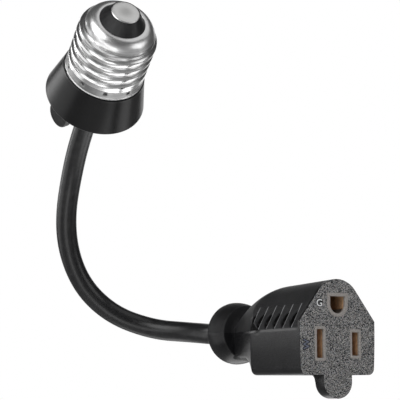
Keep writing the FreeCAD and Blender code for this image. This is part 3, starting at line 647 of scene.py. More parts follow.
def make_shell(settings):
    """Sheet-metal shell: rolled rim, staked skirt, rolled thread, shoulder and opening."""
    sides = 288
    foot, inner_low, inner_high = 0.6, 1.9, 20.8
    rim = arc((13.0, 0.3), 0.27, -200, 60, 12)
    outer = [(crest_radius(z), z) for z in spaced(foot, THREAD_END, 190)]
    start = math.asin((THREAD_END - DOME_START) / (DOME_TOP - DOME_START))
    shoulder = [
        (MOUTH + (DOME_FOOT - MOUTH) * math.cos(t), DOME_START + (DOME_TOP - DOME_START) * math.sin(t))
        for t in spaced(start, math.pi / 2, 26)[1:]
    ]
    lip = arc((MOUTH, DOME_TOP - LIP), LIP, 100, 180, 5)
    inner = [(MOUTH - LIP, DOME_TOP - SHEET), (9.2, 22.3), (10.2, 21.6)]
    inside = [(crest_radius(z) - SHEET, z) for z in spaced(inner_high, inner_low, 60)] + [(12.8, 0.35)]
    outline = rim + outer + shoulder + lip + inner + inside
    points = [q for r, z in outline for q in ring_points(r, z, sides)]
    faces = grid_faces(len(outline), sides, close_rows=True)
    plain = new_mesh("shell", dimpled(points, settings), faces, Matrix.Scale(1 / MM, 4))
    outward(plain)
    grow_with(plain, thread_tree(), Material=finish_for("shell_metal"), Depth=settings.thread_depth)
    plain.data.transform(BASE @ Matrix.Scale(MM, 4))
    smooth(plain, 50)
    wear(plain, "shell_metal", "screw_shell")


def dimpled(points, settings):
    """Punch marks of the staking, pressed into the skirt."""
    reach, outside = 1.0, SKIRT_RADIUS - SHEET / 2
    result = []
    centres = [MARK_START + 2 * math.pi * i / MARK_COUNT for i in range(MARK_COUNT)]
    for x, y, z in points:
        radius = math.hypot(x, y)
        if radius > outside and z < MARK_HEIGHT + reach:
            angle = math.atan2(y, x)
            for centre in centres:
                across = SKIRT_RADIUS * math.remainder(angle - centre, 2 * math.pi)
                away = math.hypot(across, z - MARK_HEIGHT) / reach
                if away < 1:
                    sink = settings.dimple_depth * (0.5 + 0.5 * math.cos(math.pi * away))
                    x, y = x * (1 - sink / radius), y * (1 - sink / radius)
        result.append((x, y, z))
    return result


def make_nose():
    """Cone that fills the shell's mouth and carries the contact."""
    outline = [(2.2, 19.0), (5.9, 19.0), (6.0, 19.2), (6.0, 21.2), (8.2, 21.3), (8.2, 22.0), (7.3, 22.6)]
    outline += spread((7.35, 22.95), (4.85, 26.90), 10) + [(4.85, 26.90)]
    outline += [(4.77, 26.92), (4.74, 26.8), (4.74, 26.2), (2.2, 26.2)]
    piece = lathe("nose", outline, BASE)
    smooth(piece, 40)
    wear(piece, "nose_plastic", "tip_insulator")


def make_button():
    """Pressed contact: shank, rolled edge and a gently domed face."""
    outline = [(0.0, 21.2), (0.88, 21.2), (0.9, 26.24), (4.5, 26.24)]
    outline += arc((4.30, 26.62), 0.42, -60, 62, 14)
    turns = spaced(0.0, math.pi / 2, 20)[1:-1]
    outline += [(min(4.50 * math.cos(t), 4.46), 26.99 + 0.27 * math.sin(t)) for t in turns] + [(0.0, 27.26)]
    piece = lathe("button", outline, BASE, 160)
    smooth(piece, 50)
    wear(piece, "contact_metal", "centre_contact")


def make_cap():
    """Flared cap with its collar, hollow inside."""
    outline = [(15.4, -12.95)]
    outline += arc((16.32, -12.52), 0.46, -90, -8, 8)
    outline += spread((16.7, -12.3), (13.68, -0.35), 24) + [(13.68, -0.35)]
    outline += arc((13.46, -0.26), 0.22, 15, 90, 6)
    outline += [(12.75, -0.04), (12.7, 0.1), (12.7, 2.9), (12.4, 3.18), (10.4, 3.18), (10.4, -1.9)]
    outline += [(12.0, -1.95), (14.2, -10.8), (15.38, -10.97)]
    piece = lathe("cap", outline, BASE, 224)
    smooth(piece, 35)
    wear(piece, "cap_plastic", "base_body")


def make_cover():
    """Closing disc with its round lug."""
    outline = [(4.25, -12.98), (15.1, -12.98), (COVER_RADIUS, -12.8), (COVER_RADIUS, -11.05)]
    outline += [(3.87, -11.05), (3.87, -12.6)] + arc((4.25, -12.6), 0.38, 180, 270, 5)[1:-1]
    disc = lathe("cover", outline, BASE)
    boolean(disc, make_lug(), "UNION")
    smooth(disc, 38)
    wear(disc, "cap_plastic", "base_cover")


def tab(name, path, half, centre, steps, place):
    """Round-ended tab: a path of (x, z) points, drawn in by each step's inset at its depth."""
    rings = []
    for inset, depth in steps:
        share = (half - inset) / half
        rings.append([
            (x * share, depth, centre + (z - centre) * share)
            if z <= centre else (math.copysign(half - inset, x), depth, z)
            for x, z in path
        ])
    return tube(name, rings, place)


def make_lug():
    """Round-ended tab, its rim eased, standing down from the cover."""
    half, centre, thick, ease = LUG_HALF, LUG_HALF - LUG_DROP, 2.0, 0.4
    path = [(-half, 0.9)] + [(-half, -0.4 * i) for i in range(8)]
    path += arc((0, centre), half, 180, 360, 40)
    path += [(half, -0.4 * i) for i in range(7, -1, -1)] + [(half, 0.9)]
    steps = [(ease, 0.0), (0.3 * ease, 0.12 * ease), (0.08 * ease, 0.45 * ease), (0.0, ease), (0.0, thick - 0.02)]
    reach = math.sqrt(COVER_RADIUS ** 2 - half ** 2)
    place = BASE @ Matrix.Rotation(LUG_TURN + math.pi / 2, 4, "Z")
    place = place @ Matrix.Translation(Vector((0, -reach, COVER_BACK)) * MM)
    return tab("lug", path, half, centre, steps, place)


# Cord

def route_line():
    """The route's smooth line, as points along its spline, in metres."""
    curve = bpy.data.curves.new("route", "CURVE")
    curve.dimensions = "3D"
    curve.resolution_u = 24
    spline = curve.splines.new("NURBS")
    spline.points.add(len(ROUTE) - 1)
    for point, place in zip(spline.points, ROUTE):
        point.co = (*place, 1.0)
    spline.order_u = 3
    spline.use_endpoint_u = True
    holder = linked("route", curve)
    points = [v.co.copy() for v in evaluated(holder).vertices]
    bpy.data.objects.remove(holder)
    return points


def make_cord(settings):
    """Round jacket along the route, with a slight twist line of the two cores under it."""
    line = route_line()
    sides, lay_length = 48, 55.0
    radius = settings.cord_diameter * MM / 2
    side = (line[1] - line[0]).normalized().orthogonal().normalized()
    points, coords, along = [], [], 0.0
    for i, here in enumerate(line):
        ahead = (line[min(i + 1, len(line) - 1)] - line[max(i - 1, 0)]).normalized()
        side = (side - ahead * side.dot(ahead)).normalized()
        other = ahead.cross(side)
        if i:
            along += (here - line[i - 1]).length / MM
        for j in range(sides):
            turn = 2 * math.pi * j / sides
            twist = turn - along * 2 * math.pi / lay_length
            swell = 1 + settings.core_swell * (math.cos(2 * twist) - 1) / 2
            points.append(here + (side * math.cos(turn) + other * math.sin(turn)) * radius * swell)
            coords.append((j / sides, along, 0.0))
    faces = grid_faces(len(line), sides)
    faces.append(tuple(reversed(range(sides))))
    faces.append(tuple((len(line) - 1) * sides + j for j in range(sides)))
    cord = new_mesh("cord_tube", [p / MM for p in points], faces, Matrix())
    attribute = cord.data.attributes.new("around_along", "FLOAT_VECTOR", "POINT")
    attribute.data.foreach_set("vector", [v for c in coords for v in c])
    smooth(cord, 60)
    wear(cord, "cord_jacket", "cord")


# Outlet body as one loft whose sections follow a rule

HALF_WIDTH, BOTTOM, SIDE_TOP, TOP_RADIUS, TOP_CENTRE = 13.55, -9.45, 6.9, 8.2, 11.55
BODY_LENGTH, NECK_END, NECK_HALF, NECK_TOP, NECK_BOTTOM = 30.5, 56.0, 5.2, 9.4, -4.1
BOTTOM_CORNER, BACK_EDGE = 2.0, 0.5
CAP_START, CAP_HALF, CAP_RISE = 24.0, 13.5, 19.1
SIDE_BOW = 0.9
FACE_BACK = 0.12
GRIP_LOW, GRIP_HIGH, GRIP_START, GRIP_FIRST, GRIP_PITCH, GRIP_COUNT = 4.65, 12.15, 1.9, 5.3, 5.07, 6
GROOVE_WALL, GROOVE_LENGTH, GROOVE_CENTRE, GROOVE_REACH = 0.25, 3.1, 0.4, 0.8
TAPER = (HALF_WIDTH - NECK_HALF) / (NECK_END - BODY_LENGTH)
TAIL_START, BODY_END = 35.5, 58.0
FACE_MIDDLE = 3.0

# Openings: half width, half height and middle of the blades', height of the pin's, and the rims' margins
BLADES = ((1.25, 4.35, -6.35), (1.30, 3.55, 6.35))
PIN_HEIGHT, PIN_RADIUS, PIN_TOP = 11.89, 2.7, 2.55
RIM_WIDE, RIM_TALL, RIM_GROUND = 0.7, 0.95, 1.05


def slope_plane():
    """Normal of the slope between side and dome, and its distance from the middle."""
    down = TOP_CENTRE - SIDE_TOP
    angle = math.acos(TOP_RADIUS / math.hypot(HALF_WIDTH, down)) - math.atan2(down, HALF_WIDTH)
    normal = (math.cos(angle), math.sin(angle))
    return normal, normal[1] * TOP_CENTRE + TOP_RADIUS


def through(a, b, c, y):
    """Height at y on the circle through three (y, z) points."""
    (x1, y1), (x2, y2), (x3, y3) = a, b, c
    d = 2 * (x1 * (y2 - y3) + x2 * (y3 - y1) + x3 * (y1 - y2))
    q1, q2, q3 = x1 * x1 + y1 * y1, x2 * x2 + y2 * y2, x3 * x3 + y3 * y3
    cx = (q1 * (y2 - y3) + q2 * (y3 - y1) + q3 * (y1 - y2)) / d
    cy = (q1 * (x3 - x2) + q2 * (x1 - x3) + q3 * (x2 - x1)) / d
    r = math.hypot(x1 - cx, y1 - cy)
    away = math.sqrt(max(r * r - (y - cx) ** 2, 0.0))
    return cy + away if b[1] > cy else cy - away


def half_width(y):
    """Plan: straight, a small rounded edge, then straight to the neck."""
    bend = max(0.0, (y - BODY_LENGTH + math.hypot(y - BODY_LENGTH, BACK_EDGE)) / 2)
    return max(NECK_HALF, HALF_WIDTH - TAPER * bend)


def floor_height(y):
    """Underside: flat, then a round rise to the neck."""
    span, step = NECK_END - BODY_LENGTH, NECK_BOTTOM - BOTTOM
    if y <= BODY_LENGTH:
        return BOTTOM
    mid = (BODY_LENGTH + 0.12 * span, BOTTOM + 0.52 * step)
    end = (BODY_LENGTH + 0.38 * span, BOTTOM + 0.84 * step)
    if y < end[0]:
        return through((BODY_LENGTH, BOTTOM), mid, end, y)
    return end[1] + (NECK_BOTTOM - end[1]) * min((y - end[0]) / (60.0 - end[0]), 1.0)


def cap_over(y):
    """Half width and height of the rounded cap that the neck's upper side runs under."""
    if y >= NECK_END:
        return NECK_HALF, NECK_TOP
    if y < CAP_START:
        return CAP_HALF + 3 * (CAP_START - y), CAP_RISE
    rise = NECK_TOP + 0.65 * (CAP_RISE - NECK_TOP)
    wide = through((CAP_START, CAP_HALF), (42.0, 9.5), (NECK_END, NECK_HALF), y)
    return wide, through((CAP_START, CAP_RISE), (43.0, rise), (NECK_END, NECK_TOP), y)


def groove_depth(y, along, settings):
    """Depth below the grip's flat, at y behind the face and along mm up from the flat's low edge."""
    step = (y - GRIP_FIRST) % GRIP_PITCH
    if y < GRIP_FIRST or y > GRIP_FIRST + GRIP_COUNT * GRIP_PITCH or step > GROOVE_LENGTH:
        return 0.0
    share = step / GROOVE_WALL if step < GROOVE_WALL else (GROOVE_LENGTH - step) / (GROOVE_LENGTH - GROOVE_WALL)
    deep = settings.grip_depth
    half = FLAT_LENGTH * GROOVE_REACH / 2
    radius = (half * half + deep * deep) / (2 * deep)
    core = radius - deep
    reach = core + deep * share
    off = along - FLAT_LENGTH * GROOVE_CENTRE
    return max(0.0, math.sqrt(max(reach * reach - off * off, 0.0)) - core)


def flat_ends():
    """Low and high edge of the grip's flat, as (x, z)."""
    (nx, nz), distance = slope_plane()
    return (HALF_WIDTH, GRIP_LOW), ((distance - nz * GRIP_HIGH) / nx, GRIP_HIGH)


FLAT_LENGTH = math.dist(*flat_ends())
SECTION = {"floor": 9, "corner": 9, "side": 14, "grip": 60, "slope": 12, "dome": 34}


def spread(a, b, count):
    """Points from a towards b, without b itself."""
    return [(a[0] + (b[0] - a[0]) * i / count, a[1] + (b[1] - a[1]) * i / count) for i in range(count)]


def half_section(y, settings):
    """Right half of the section at y, from the floor's middle up to the ridge."""
    half, floor = half_width(y), floor_height(y)
    (nx, nz), _ = slope_plane()
    peak = TOP_CENTRE + TOP_RADIUS
    lift = 1 - (peak - CAP_RISE) * min(y / CAP_START, 1.0) / (peak - GRIP_LOW)
    corner = min(BOTTOM_CORNER, half - 1.0)
    bow = SIDE_BOW * half / HALF_WIDTH
    foot = half - bow * 0.4
    points = spread((0.0, floor), (foot - corner, floor), SECTION["floor"])
    points += arc((foot - corner, floor + corner), corner, -90, 0, SECTION["corner"])[:-1]
    low, high = flat_ends()
    knee = (HALF_WIDTH, SIDE_TOP)
    top = (TOP_RADIUS * nx, TOP_CENTRE + TOP_RADIUS * nz)
    rows = spread((half, floor + corner), (half, GRIP_LOW), SECTION["side"])
    tall = GRIP_LOW - floor - corner
    points += [(x - bow * (0.4 * ((GRIP_LOW - z) / tall) ** 2), z) for x, z in rows]
    upper = grip_line(y, low, knee, high, settings)
    upper += spread(high, top, SECTION["slope"])
    start = math.degrees(math.atan2(top[1] - TOP_CENTRE, top[0]))
    upper += arc((0.0, TOP_CENTRE), TOP_RADIUS, start, 90, SECTION["dome"])
    points += [under_cap(x, GRIP_LOW + (z - GRIP_LOW) * lift, y) for x, z in upper]
    return points


def under_cap(x, z, y):
    """A point of the full section kept inside the tapered sides and under the rounded cap."""
    lean, lean_start, side_round, cap_round, cap_lead = 0.12, 28.0, 0.05, 0.004, 2
    wide, rise = cap_over(y)
    side = half_width(y) - lean * max(z - GRIP_LOW, 0.0) * eased((y - lean_start) / 4.0)
    if y > BODY_LENGTH - 1:
        x = (x + side - math.hypot(x - side, side_round * min(x, 1.0))) / 2
    if y < CAP_START - cap_lead:
        return x, z
    reach = math.hypot(x / wide, (z - AXIS_HEIGHT) / (rise - AXIS_HEIGHT))
    over = ((reach - 1) + math.hypot(reach - 1, cap_round)) / 2 * eased((y - CAP_START + cap_lead) / 5)
    return x / (1 + over), AXIS_HEIGHT + (z - AXIS_HEIGHT) / (1 + over)


def grip_line(y, low, knee, high, settings):
    """The upper corner: full at the face, then cut to a flat with leaf-shaped grooves."""
    count = SECTION["grip"]
    length = math.dist(low, high)
    tx, tz = (high[0] - low[0]) / length, (high[1] - low[1]) / length
    corner = (knee[0] - low[0]) * tx + (knee[1] - low[1]) * tz
    stands = (knee[0] - low[0]) * tz - (knee[1] - low[1]) * tx
    full = 1 - eased((y - GRIP_START) / 0.25)
    points = []
    for i in range(count):
        along = length * i / count
        rib = stands * (along / corner if along < corner else (length - along) / (length - corner))
        out = rib * full - groove_depth(y, along, settings)
        points.append((low[0] + tx * along + tz * out, low[1] + tz * along - tx * out))
    return points


def body_depths():
    """Depths of the sections: close together where the grooves start."""
    depths = [0.0, 0.03, 0.10, 0.22, 0.35, 0.8, 1.3, 1.85, 1.95, 2.05, 2.15, 2.6, 3.4, 4.2, 4.9]
    for k in range(GRIP_COUNT):
        start = GRIP_FIRST + k * GRIP_PITCH
        depths += [start - 0.12, start, start + 0.12]
        depths += spaced(start + GROOVE_WALL, start + GROOVE_LENGTH, 15)
        depths += [start + 3.5, start + 4.1, start + 4.6]
    return sorted(depths + spaced(TAIL_START, BODY_END, 40))


def make_body(settings):
    """Lofted outlet body: five-sided front, toothed corners and a tapered neck."""
    edge, hollow, half_face = 0.35, 1.3, 13.0
    rings = []
    for y in body_depths():
        inset = edge - math.sqrt(max(edge ** 2 - (edge - y) ** 2, 0.0)) if y < edge else 0.0
        half = half_section(max(y, edge), settings)
        if inset:
            share = 1 - inset / half_face
            half = [(x * share, FACE_MIDDLE + (z - FACE_MIDDLE) * share) for x, z in half]
        back = y + FACE_BACK * max(0.0, 1 - y / hollow)
        ring = [(x, back, z) for x, z in half] + [(-x, back, z) for x, z in half[-2:0:-1]]
        rings.append(ring)
    sides = len(rings[0])
    points = [p for ring in rings for p in ring]
    faces = grid_faces(len(rings), sides)
    front = len(points)
    points.append((0.0, FACE_BACK, FACE_MIDDLE))
    faces += [(front, j, (j + 1) % sides) for j in range(sides)]
    back = len(points)
    points.append((0.0, rings[-1][0][1], FACE_MIDDLE))
    last = (len(rings) - 1) * sides
    faces += [(back, last + (j + 1) % sides, last + j) for j in range(sides)]
    body = new_mesh("outlet_body_smooth", points, faces, OUTLET)
    outward(body)
    return body


def mirrored(half):
    """Outline from its right half, which starts at the lower corner."""
    left = [(-x, z) for x, z in half]
    return left[:1] + half + left[:0:-1]


def rounded_rectangle(w, h, c, x=0.0):
    """Outline from half width, half height and corner radius, about (x, 0)."""
    points = []
    for cx, cz, start in ((w - c, h - c, 0), (-w + c, h - c, 90), (-w + c, -h + c, 180), (w - c, -h + c, 270)):
        points += arc((cx + x, cz), c, start, start + 90, 6)
    return points


def ground_outline(grow):
    """U shape of the ground opening, grown by a margin."""
    radius, top = PIN_RADIUS + grow, PIN_HEIGHT + PIN_TOP + grow
    return arc((0.0, PIN_HEIGHT), radius, 180, 360, 32) + [(radius, top), (-radius, top)]


def windows(gap):
    """Outlines of the three openings with the rims round them."""
    blades = [rounded_rectangle(w + RIM_WIDE - gap, h + RIM_TALL - gap, 0.6, x) for w, h, x in BLADES]
    return blades + [ground_outline(RIM_GROUND - gap)]


def slots():
    """Outlines of the three openings."""
    return [rounded_rectangle(w, h, 0.25, x) for w, h, x in BLADES] + [ground_outline(0.0)]


def shaped(piece, outline, near, far, operation="DIFFERENCE"):
    """Cuts or joins an outline between two depths behind the face."""
    boolean(piece, prism("tool", outline, near, far, OUTLET), operation)


def make_tongue():
    """Round tongue under the face with its gusset."""
    half, drop, thick, edge = 5.04, 7.15, 5.5, 0.45
    centre = BOTTOM - drop + half
    path = [(-half, BOTTOM + 2.0), (-half, BOTTOM)] + arc((0, centre), half, 180, 360, 48)
    path += [(half, BOTTOM), (half, BOTTOM + 2.0)]
    steps = [(edge, FACE_BACK), (0.35 * edge, FACE_BACK + 0.1 * edge), (0.1 * edge, 0.45 * edge), (0, edge)]
    steps += [(0, thick - edge), (0.1 * edge, thick - 0.45 * edge), (edge, thick)]
    tongue = tab("tongue", path, half, centre, steps, OUTLET)
    low, round_in = BOTTOM - 2.2, 2.2
    gusset = [(thick - 1.0, low), (thick - 0.2, low)] + arc((thick + round_in, low), round_in, 180, 90, 12)
    gusset += [(thick + round_in, BOTTOM + 1.0), (thick - 1.0, BOTTOM + 1.0)]
    turned = Matrix.Rotation(math.radians(90), 4, "Z")
    boolean(tongue, prism("gusset", gusset, -half + 0.05, half - 0.05, OUTLET @ turned), "UNION")
    return tongue


def make_ball():
    """Mushroom collar on the cord's axis, with fine turned rings on its dome."""
    foot, widest, radius, rise = 56.6, 64.0, 10.5, 6.8
    steps, span, ring_depth, ring_steps = 110, math.pi / 2 * 0.742, 0.07, 8
    outline = [(4.7, 52.0), (4.8, 54.4), (5.0, 54.9), (5.7, 55.5), (7.2, 55.9)]
    outline += arc((8.75, 56.45), 0.42, -80, 0, 6)
    shares = spaced(0.0, 1.0, 24)[1:]
    outline += [(9.2 + 1.3 * math.sin(math.pi / 2 * s) ** 0.9, foot + (widest - foot) * s) for s in shares]
    for i in range(1, steps + 1):
        turn = span * i / steps
        ring = ring_depth * (math.cos(2 * math.pi * i / ring_steps) * eased((i - 4) / 10))
        across = radius * math.cos(turn) + ring * math.cos(turn)
        height = widest + rise * math.sin(turn) + ring * math.sin(turn)
        outline.append((across - ring_depth, height - ring_depth))
    outline += arc((4.05, outline[-1][1] - 0.35), 0.42, 60, 180, 6)
    outline += [(3.63, 66.0), (3.63, 64.6), (1.5, 64.6), (1.5, 52.0)]
    lay = Matrix.Translation(Vector((0, 0, AXIS_HEIGHT)) * MM) @ Matrix.Rotation(math.radians(-90), 4, "X")
    return lathe("ball", outline, OUTLET @ lay, 144)


def make_outlet(settings):
    """The whole overmoulded body, cut for its openings."""
    body = make_body(settings)
    shaped(body, mirrored([(10.5, -6.6), (10.5, 6.5), (6.0, 14.8), (2.5, 16.7)]), 0.95, 17.3)
    for outline in windows(0.0):
        shaped(body, outline, -1.0, 2.0)
    boolean(body, make_tongue(), "UNION")
    smooth(body, 34)
    ball = make_ball()
    smooth(ball, 50)
    whole = joined("outlet_moulding", [body, ball] + make_marks(settings))
    wear(whole, "outlet_vinyl", "outlet_body")


def letter_solid(word, size, x, z, turn, grow, near, far):
    """A letter grown by a margin, as a solid from one depth behind the face to another."""
    curve = bpy.data.curves.new("letter_" + word, "FONT")
    curve.body = word
    curve.align_x = "CENTER"
    curve.align_y = "CENTER"
    curve.size = size * MM
    curve.offset = grow * MM
    curve.extrude = (far - near) * MM / 2
    holder = linked("letter_" + word, curve)
    mesh = evaluated(holder)
    bpy.data.objects.remove(holder)
    place = Matrix.Translation(Vector((x, (near + far) / 2, z)) * MM) @ Matrix.Rotation(math.radians(90), 4, "X")
    mesh.transform(OUTLET @ place @ Matrix.Rotation(math.radians(turn), 4, "Z"))
    piece = linked("letter_" + word, mesh)
    outward(piece)
    return piece


def make_marks(settings):
    """Terminal letters: a dark outline, which is a painted shadow round each letter, with the letter standing on it,
    no prouder than the rims.
    """
    pieces = []
    for word, x, z, size, turn in (("G", -6.56, 12.19, 3.1, 0.0), ("W", -11.2, -0.25, 2.9, 90.0)):
        for grow, near in ((settings.letter_outline, 0.07), (0.05, 0.02)):
            pieces.append(letter_solid(word, size, x, z, turn, grow, near, 0.5))
    return pieces


def make_rims():
    """Inner carrier with the rims that stand round the slots."""
    front, back, pocket_end = 1.0, 15.7, 16.5
    outline = mirrored([(10.3, -6.4), (10.3, 6.4), (5.9, 14.6), (2.4, 16.5)])
    block = prism("carrier", outline, front, back, OUTLET)
    for outline in windows(0.04):
        shaped(block, outline, 0.0, 1.5, "UNION")
    for outline in slots():
        shaped(block, outline, -1.0, 2.0)
    for x, w, h in ((-6.35, 1.8, 4.9), (6.35, 1.85, 4.1)):
        shaped(block, rounded_rectangle(w, h, 0.1, x), front, pocket_end)
    shaped(block, ground_outline(0.55), front, pocket_end)
    bevel = block.modifiers.new("edge", "BEVEL")
    bevel.width = 0.06 * MM
    bevel.segments = 2
    bevel.limit_method = "ANGLE"
    bake(block)
    smooth(block, 30)
    wear(block, "carrier_plastic", "contact_carrier")


def dress_inside():
    """Procedural finishes on the pieces that stay as they come from the frame."""
    slots_of = {s["node"]: s["material_slot"] for s in frame["record"]["subparts"]}
    for name, node in frame["nodes"].items():
        if not node.hide_render:
            node.data.materials.clear()
            node.data.materials.append(finish_for(slots_of[name]))


# Stage

def make_stage(settings):
    """Floor, world and soft boxes."""
    half = 6.0
    mesh = bpy.data.meshes.new("floor")
    corners = [(x, y, settings.floor_height) for x, y in ((-half, -half), (half, -half), (half, half), (-half, half))]
    mesh.from_pydata(corners, [], [(0, 1, 2, 3)])
    floor = linked("floor", mesh)
    f = Finish("floor_white", Base_Color=grey(0.78), Roughness=0.8, Emission_Strength=1.0)
    seen, clear, shiny = f.rays("Is Camera Ray", "Is Transmission Ray", "Is Glossy Ray")
    lit = seen.call("MAXIMUM", clear).call("MAXIMUM", shiny * settings.room * 2)
    f.set("Emission Color", f.mix(lit, grey(0.0), grey(0.50)))
    f.bump(f.noise(f.place, 40.0, 3.0), 0.0002, 0.1)
    floor.data.materials.append(f.material)
    make_world(settings)
    middle = Vector((0.02, -0.01, -0.04))
    for name, way, distance, size, glow in (
        ("key", (-0.74, -0.40, 0.53), 0.8, (0.62, 0.62), settings.key),
        ("fill", (0.66, -0.74, 0.02), 0.8, (0.55, 0.50), settings.fill),
        ("top", (0.30, -0.38, 0.88), 0.7, (0.62, 0.62), settings.top),
        ("left", (-0.85, 0.50, -0.08), 0.8, (0.70, 0.70), settings.left),
        ("low", (0.40, 0.25, -0.88), 0.8, (1.10, 1.10), settings.low),
        ("rear", (-0.54, 0.80, 0.24), 0.8, (0.30, 0.42), settings.rear),
        ("front", (-0.42, -0.60, -0.68), 0.8, (0.34, 0.34), settings.front),
        ("corner", (-0.76, -0.52, -0.39), 0.8, (0.26, 0.26), settings.front),
        ("side", (-0.93, -0.34, -0.10), 0.8, (0.30, 0.30), settings.front),
    ):
        light(name, middle + Vector(way).normalized() * distance, middle, size, glow)


def make_world(settings):
    """White behind the object, also in its gloss; a dim room on the camera's side."""
    world = bpy.data.worlds.new("studio")
    world.use_nodes = True
    bpy.context.scene.world = world
    t = Tree(world.node_tree)
    seen, clear, shiny = t.rays("Is Camera Ray", "Is Transmission Ray", "Is Glossy Ray")
    lift, border = 0.12, 0.08
    ahead = (-math.sin(CAMERA_TURN), math.cos(CAMERA_TURN), lift)
    way = t.add("ShaderNodeTexCoord", None, None, out=0)
    facing = t.add("ShaderNodeVectorMath", {"operation": "DOT_PRODUCT"}, {0: way, 1: ahead}, out=1)
    behind = facing.ramp(settings.white_from, settings.white_from + border)
    room = settings.room + (1 - settings.room) * behind
    strength = seen.call("MAXIMUM", clear)
    strength = strength + (1 - strength) * (shiny * room + (1 - shiny) * settings.soft_world)
    background = world.node_tree.nodes["Background"]
    background.inputs["Color"].default_value = grey(1)
    world.node_tree.links.new(strength.socket, background.inputs["Strength"])


def light(name, place, target, size, glow):
    """Soft box of a given size whose face has a given brightness."""
    data = bpy.data.lights.new(name, "AREA")
    data.shape = "RECTANGLE"
    data.size, data.size_y = size
    data.energy = glow * math.pi * size[0] * size[1]
    lamp = linked(name, data)
    lamp.location = place
    lamp.rotation_euler = (target - place).to_track_quat("-Z", "Y").to_euler()


def make_camera():
    """Camera as fitted to the photograph."""
    turn, lift = CAMERA_TURN, CAMERA_LIFT
    back = Vector((math.sin(turn) * math.cos(lift), -math.cos(turn) * math.cos(lift), math.sin(lift)))
    right = Vector((math.cos(turn), math.sin(turn), 0))
    up = back.cross(right)
    data = bpy.data.cameras.new("camera")
    data.sensor_width = 36.0
    data.lens = CAMERA_LENS
    data.clip_start, data.clip_end = 0.02, 60.0
    camera = linked("camera", data)
    axes = Matrix((right, up, back)).transposed().to_4x4()
    camera.matrix_world = Matrix.Translation(CAMERA_PLACE) @ axes
    bpy.context.scene.camera = camera


# Add-on: settings, operators and panel

class AdapterSizes(bpy.types.PropertyGroup):
    """Sizes that a user would change."""

    thread_depth: bpy.props.FloatProperty(
        name="Thread depth", description="Depth of the rolled thread, in millimetres",
        default=0.7, min=0.1, max=0.75)
    dimple_depth: bpy.props.FloatProperty(
        name="Punch depth", description="Depth of the staking marks, in millimetres",
        default=0.42, min=0.0, max=0.8)
    cord_diameter: bpy.props.FloatProperty(
        name="Cord diameter", description="Outside of the jacket, in millimetres",
        default=7.2, min=3.0, max=12.0)
    core_swell: bpy.props.FloatProperty(
        name="Core swell", description="Share by which the cores' lay shows in the jacket",
        default=0.012, min=0.0, max=0.1)
    grip_depth: bpy.props.FloatProperty(
        name="Grip depth", description="Deepest cut between the finger grips, in millimetres",
        default=1.5, min=0.0, max=2.5)
    # The dark line round each letter is a painted shadow
    letter_outline: bpy.props.FloatProperty(
        name="Letter outline", description="Width of the dark line round each letter, in millimetres",
        default=0.30, min=0.0, max=0.6)


class AdapterStage(bpy.types.PropertyGroup):
    """Light and floor."""

    floor_height: bpy.props.FloatProperty(
        name="Floor height", description="Height of the floor",
        default=-0.9, unit="LENGTH")
    key: bpy.props.FloatProperty(
        name="Key", description="Brightness of the soft box at the upper left",
        default=2.6, min=0.0)
    fill: bpy.props.FloatProperty(
        name="Fill", description="Brightness of the soft box at the right",
        default=1.2, min=0.0)
    top: bpy.props.FloatProperty(
        name="Top", description="Brightness of the soft box above",
        default=0.55, min=0.0)
    left: bpy.props.FloatProperty(
        name="Left", description="Brightness of the strip behind, at the left",
        default=0.85, min=0.0)
    low: bpy.props.FloatProperty(
        name="Low", description="Brightness of the soft box below, at the right",
        default=1.25, min=0.0)
    rear: bpy.props.FloatProperty(
        name="Rear", description="Brightness of the soft box behind, above the left side",
        default=2.6, min=0.0)
    front: bpy.props.FloatProperty(
        name="Front", description="Brightness of the three small soft boxes in front",
        default=1.5, min=0.0)
    room: bpy.props.FloatProperty(
        name="Room", description="Brightness of the camera's side of the room in gloss",
        default=0.06, min=0.0)
    white_from: bpy.props.FloatProperty(
        name="White from", description="Where the white background starts in gloss, as a cosine",
        default=0.86, min=-1.0, max=1.0)
    soft_world: bpy.props.FloatProperty(
        name="Soft light", description="Background strength as soft light",
        default=0.16, min=0.0)


class ADAPTER_OT_camera(bpy.types.Operator):
    """Place the camera at the photograph's angle"""

    bl_idname = "adapter.camera"
    bl_label = "Camera"

    def execute(self, context):
        make_camera()
        return {"FINISHED"}


class ADAPTER_OT_cord(bpy.types.Operator):
    """Make the cord"""

    bl_idname = "adapter.cord"
    bl_label = "Cord"

    def execute(self, context):
        make_cord(context.scene.adapter_sizes)
        return {"FINISHED"}


class ADAPTER_OT_shell(bpy.types.Operator):
    """Make the screw shell, its nose and its centre contact"""

    bl_idname = "adapter.shell"
    bl_label = "Screw shell"

    def execute(self, context):
        make_shell(context.scene.adapter_sizes)
        make_nose()
        make_button()
        return {"FINISHED"}


class ADAPTER_OT_cap(bpy.types.Operator):
    """Make the flared cap and its cover with the lug"""

    bl_idname = "adapter.cap"
    bl_label = "Cap and cover"

    def execute(self, context):
        make_cap()
        make_cover()
        return {"FINISHED"}


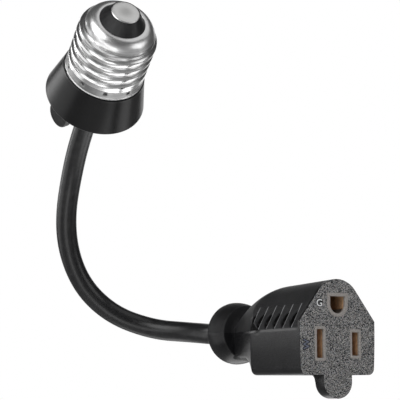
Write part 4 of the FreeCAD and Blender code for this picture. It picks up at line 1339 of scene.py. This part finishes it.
class ADAPTER_OT_outlet(bpy.types.Operator):
    """Make the outlet's moulded body and its carrier"""

    bl_idname = "adapter.outlet"
    bl_label = "Outlet"

    def execute(self, context):
        make_outlet(context.scene.adapter_sizes)
        make_rims()
        return {"FINISHED"}


class ADAPTER_OT_inside(bpy.types.Operator):
    """Give the inner pieces their finishes"""

    bl_idname = "adapter.inside"
    bl_label = "Inner pieces"

    def execute(self, context):
        dress_inside()
        return {"FINISHED"}


class ADAPTER_OT_stage(bpy.types.Operator):
    """Make the floor, the world and the lights"""

    bl_idname = "adapter.stage"
    bl_label = "Stage"

    def execute(self, context):
        make_stage(context.scene.adapter_stage)
        return {"FINISHED"}


class ADAPTER_PT_panel(bpy.types.Panel):
    """Lists the adapter's sizes and operators."""

    bl_idname = "ADAPTER_PT_panel"
    bl_label = "Adapter"
    bl_space_type = "VIEW_3D"
    bl_region_type = "UI"
    bl_category = "Adapter"

    def draw(self, context):
        for group in (context.scene.adapter_sizes, context.scene.adapter_stage):
            for name in group.__annotations__:
                self.layout.prop(group, name)
        for operator in OPERATORS:
            self.layout.operator(operator.bl_idname)


OPERATORS = (
    ADAPTER_OT_camera,
    ADAPTER_OT_cord,
    ADAPTER_OT_shell,
    ADAPTER_OT_cap,
    ADAPTER_OT_outlet,
    ADAPTER_OT_inside,
    ADAPTER_OT_stage,
)
CLASSES = (AdapterSizes, AdapterStage) + OPERATORS + (ADAPTER_PT_panel,)


def register():
    for kind in CLASSES:
        bpy.utils.register_class(kind)
    bpy.types.Scene.adapter_sizes = bpy.props.PointerProperty(type=AdapterSizes)
    bpy.types.Scene.adapter_stage = bpy.props.PointerProperty(type=AdapterStage)


def unregister():
    del bpy.types.Scene.adapter_stage
    del bpy.types.Scene.adapter_sizes
    for kind in reversed(CLASSES):
        bpy.utils.unregister_class(kind)


def main():
    register()
    bpy.context.scene.view_settings.view_transform = "Standard"
    bpy.ops.adapter.camera()
    bpy.ops.adapter.cord()
    bpy.ops.adapter.shell()
    bpy.ops.adapter.cap()
    bpy.ops.adapter.outlet()
    bpy.ops.adapter.inside()
    bpy.ops.adapter.stage()
    bpy.context.view_layer.update()


if __name__ == "__main__":
    main()
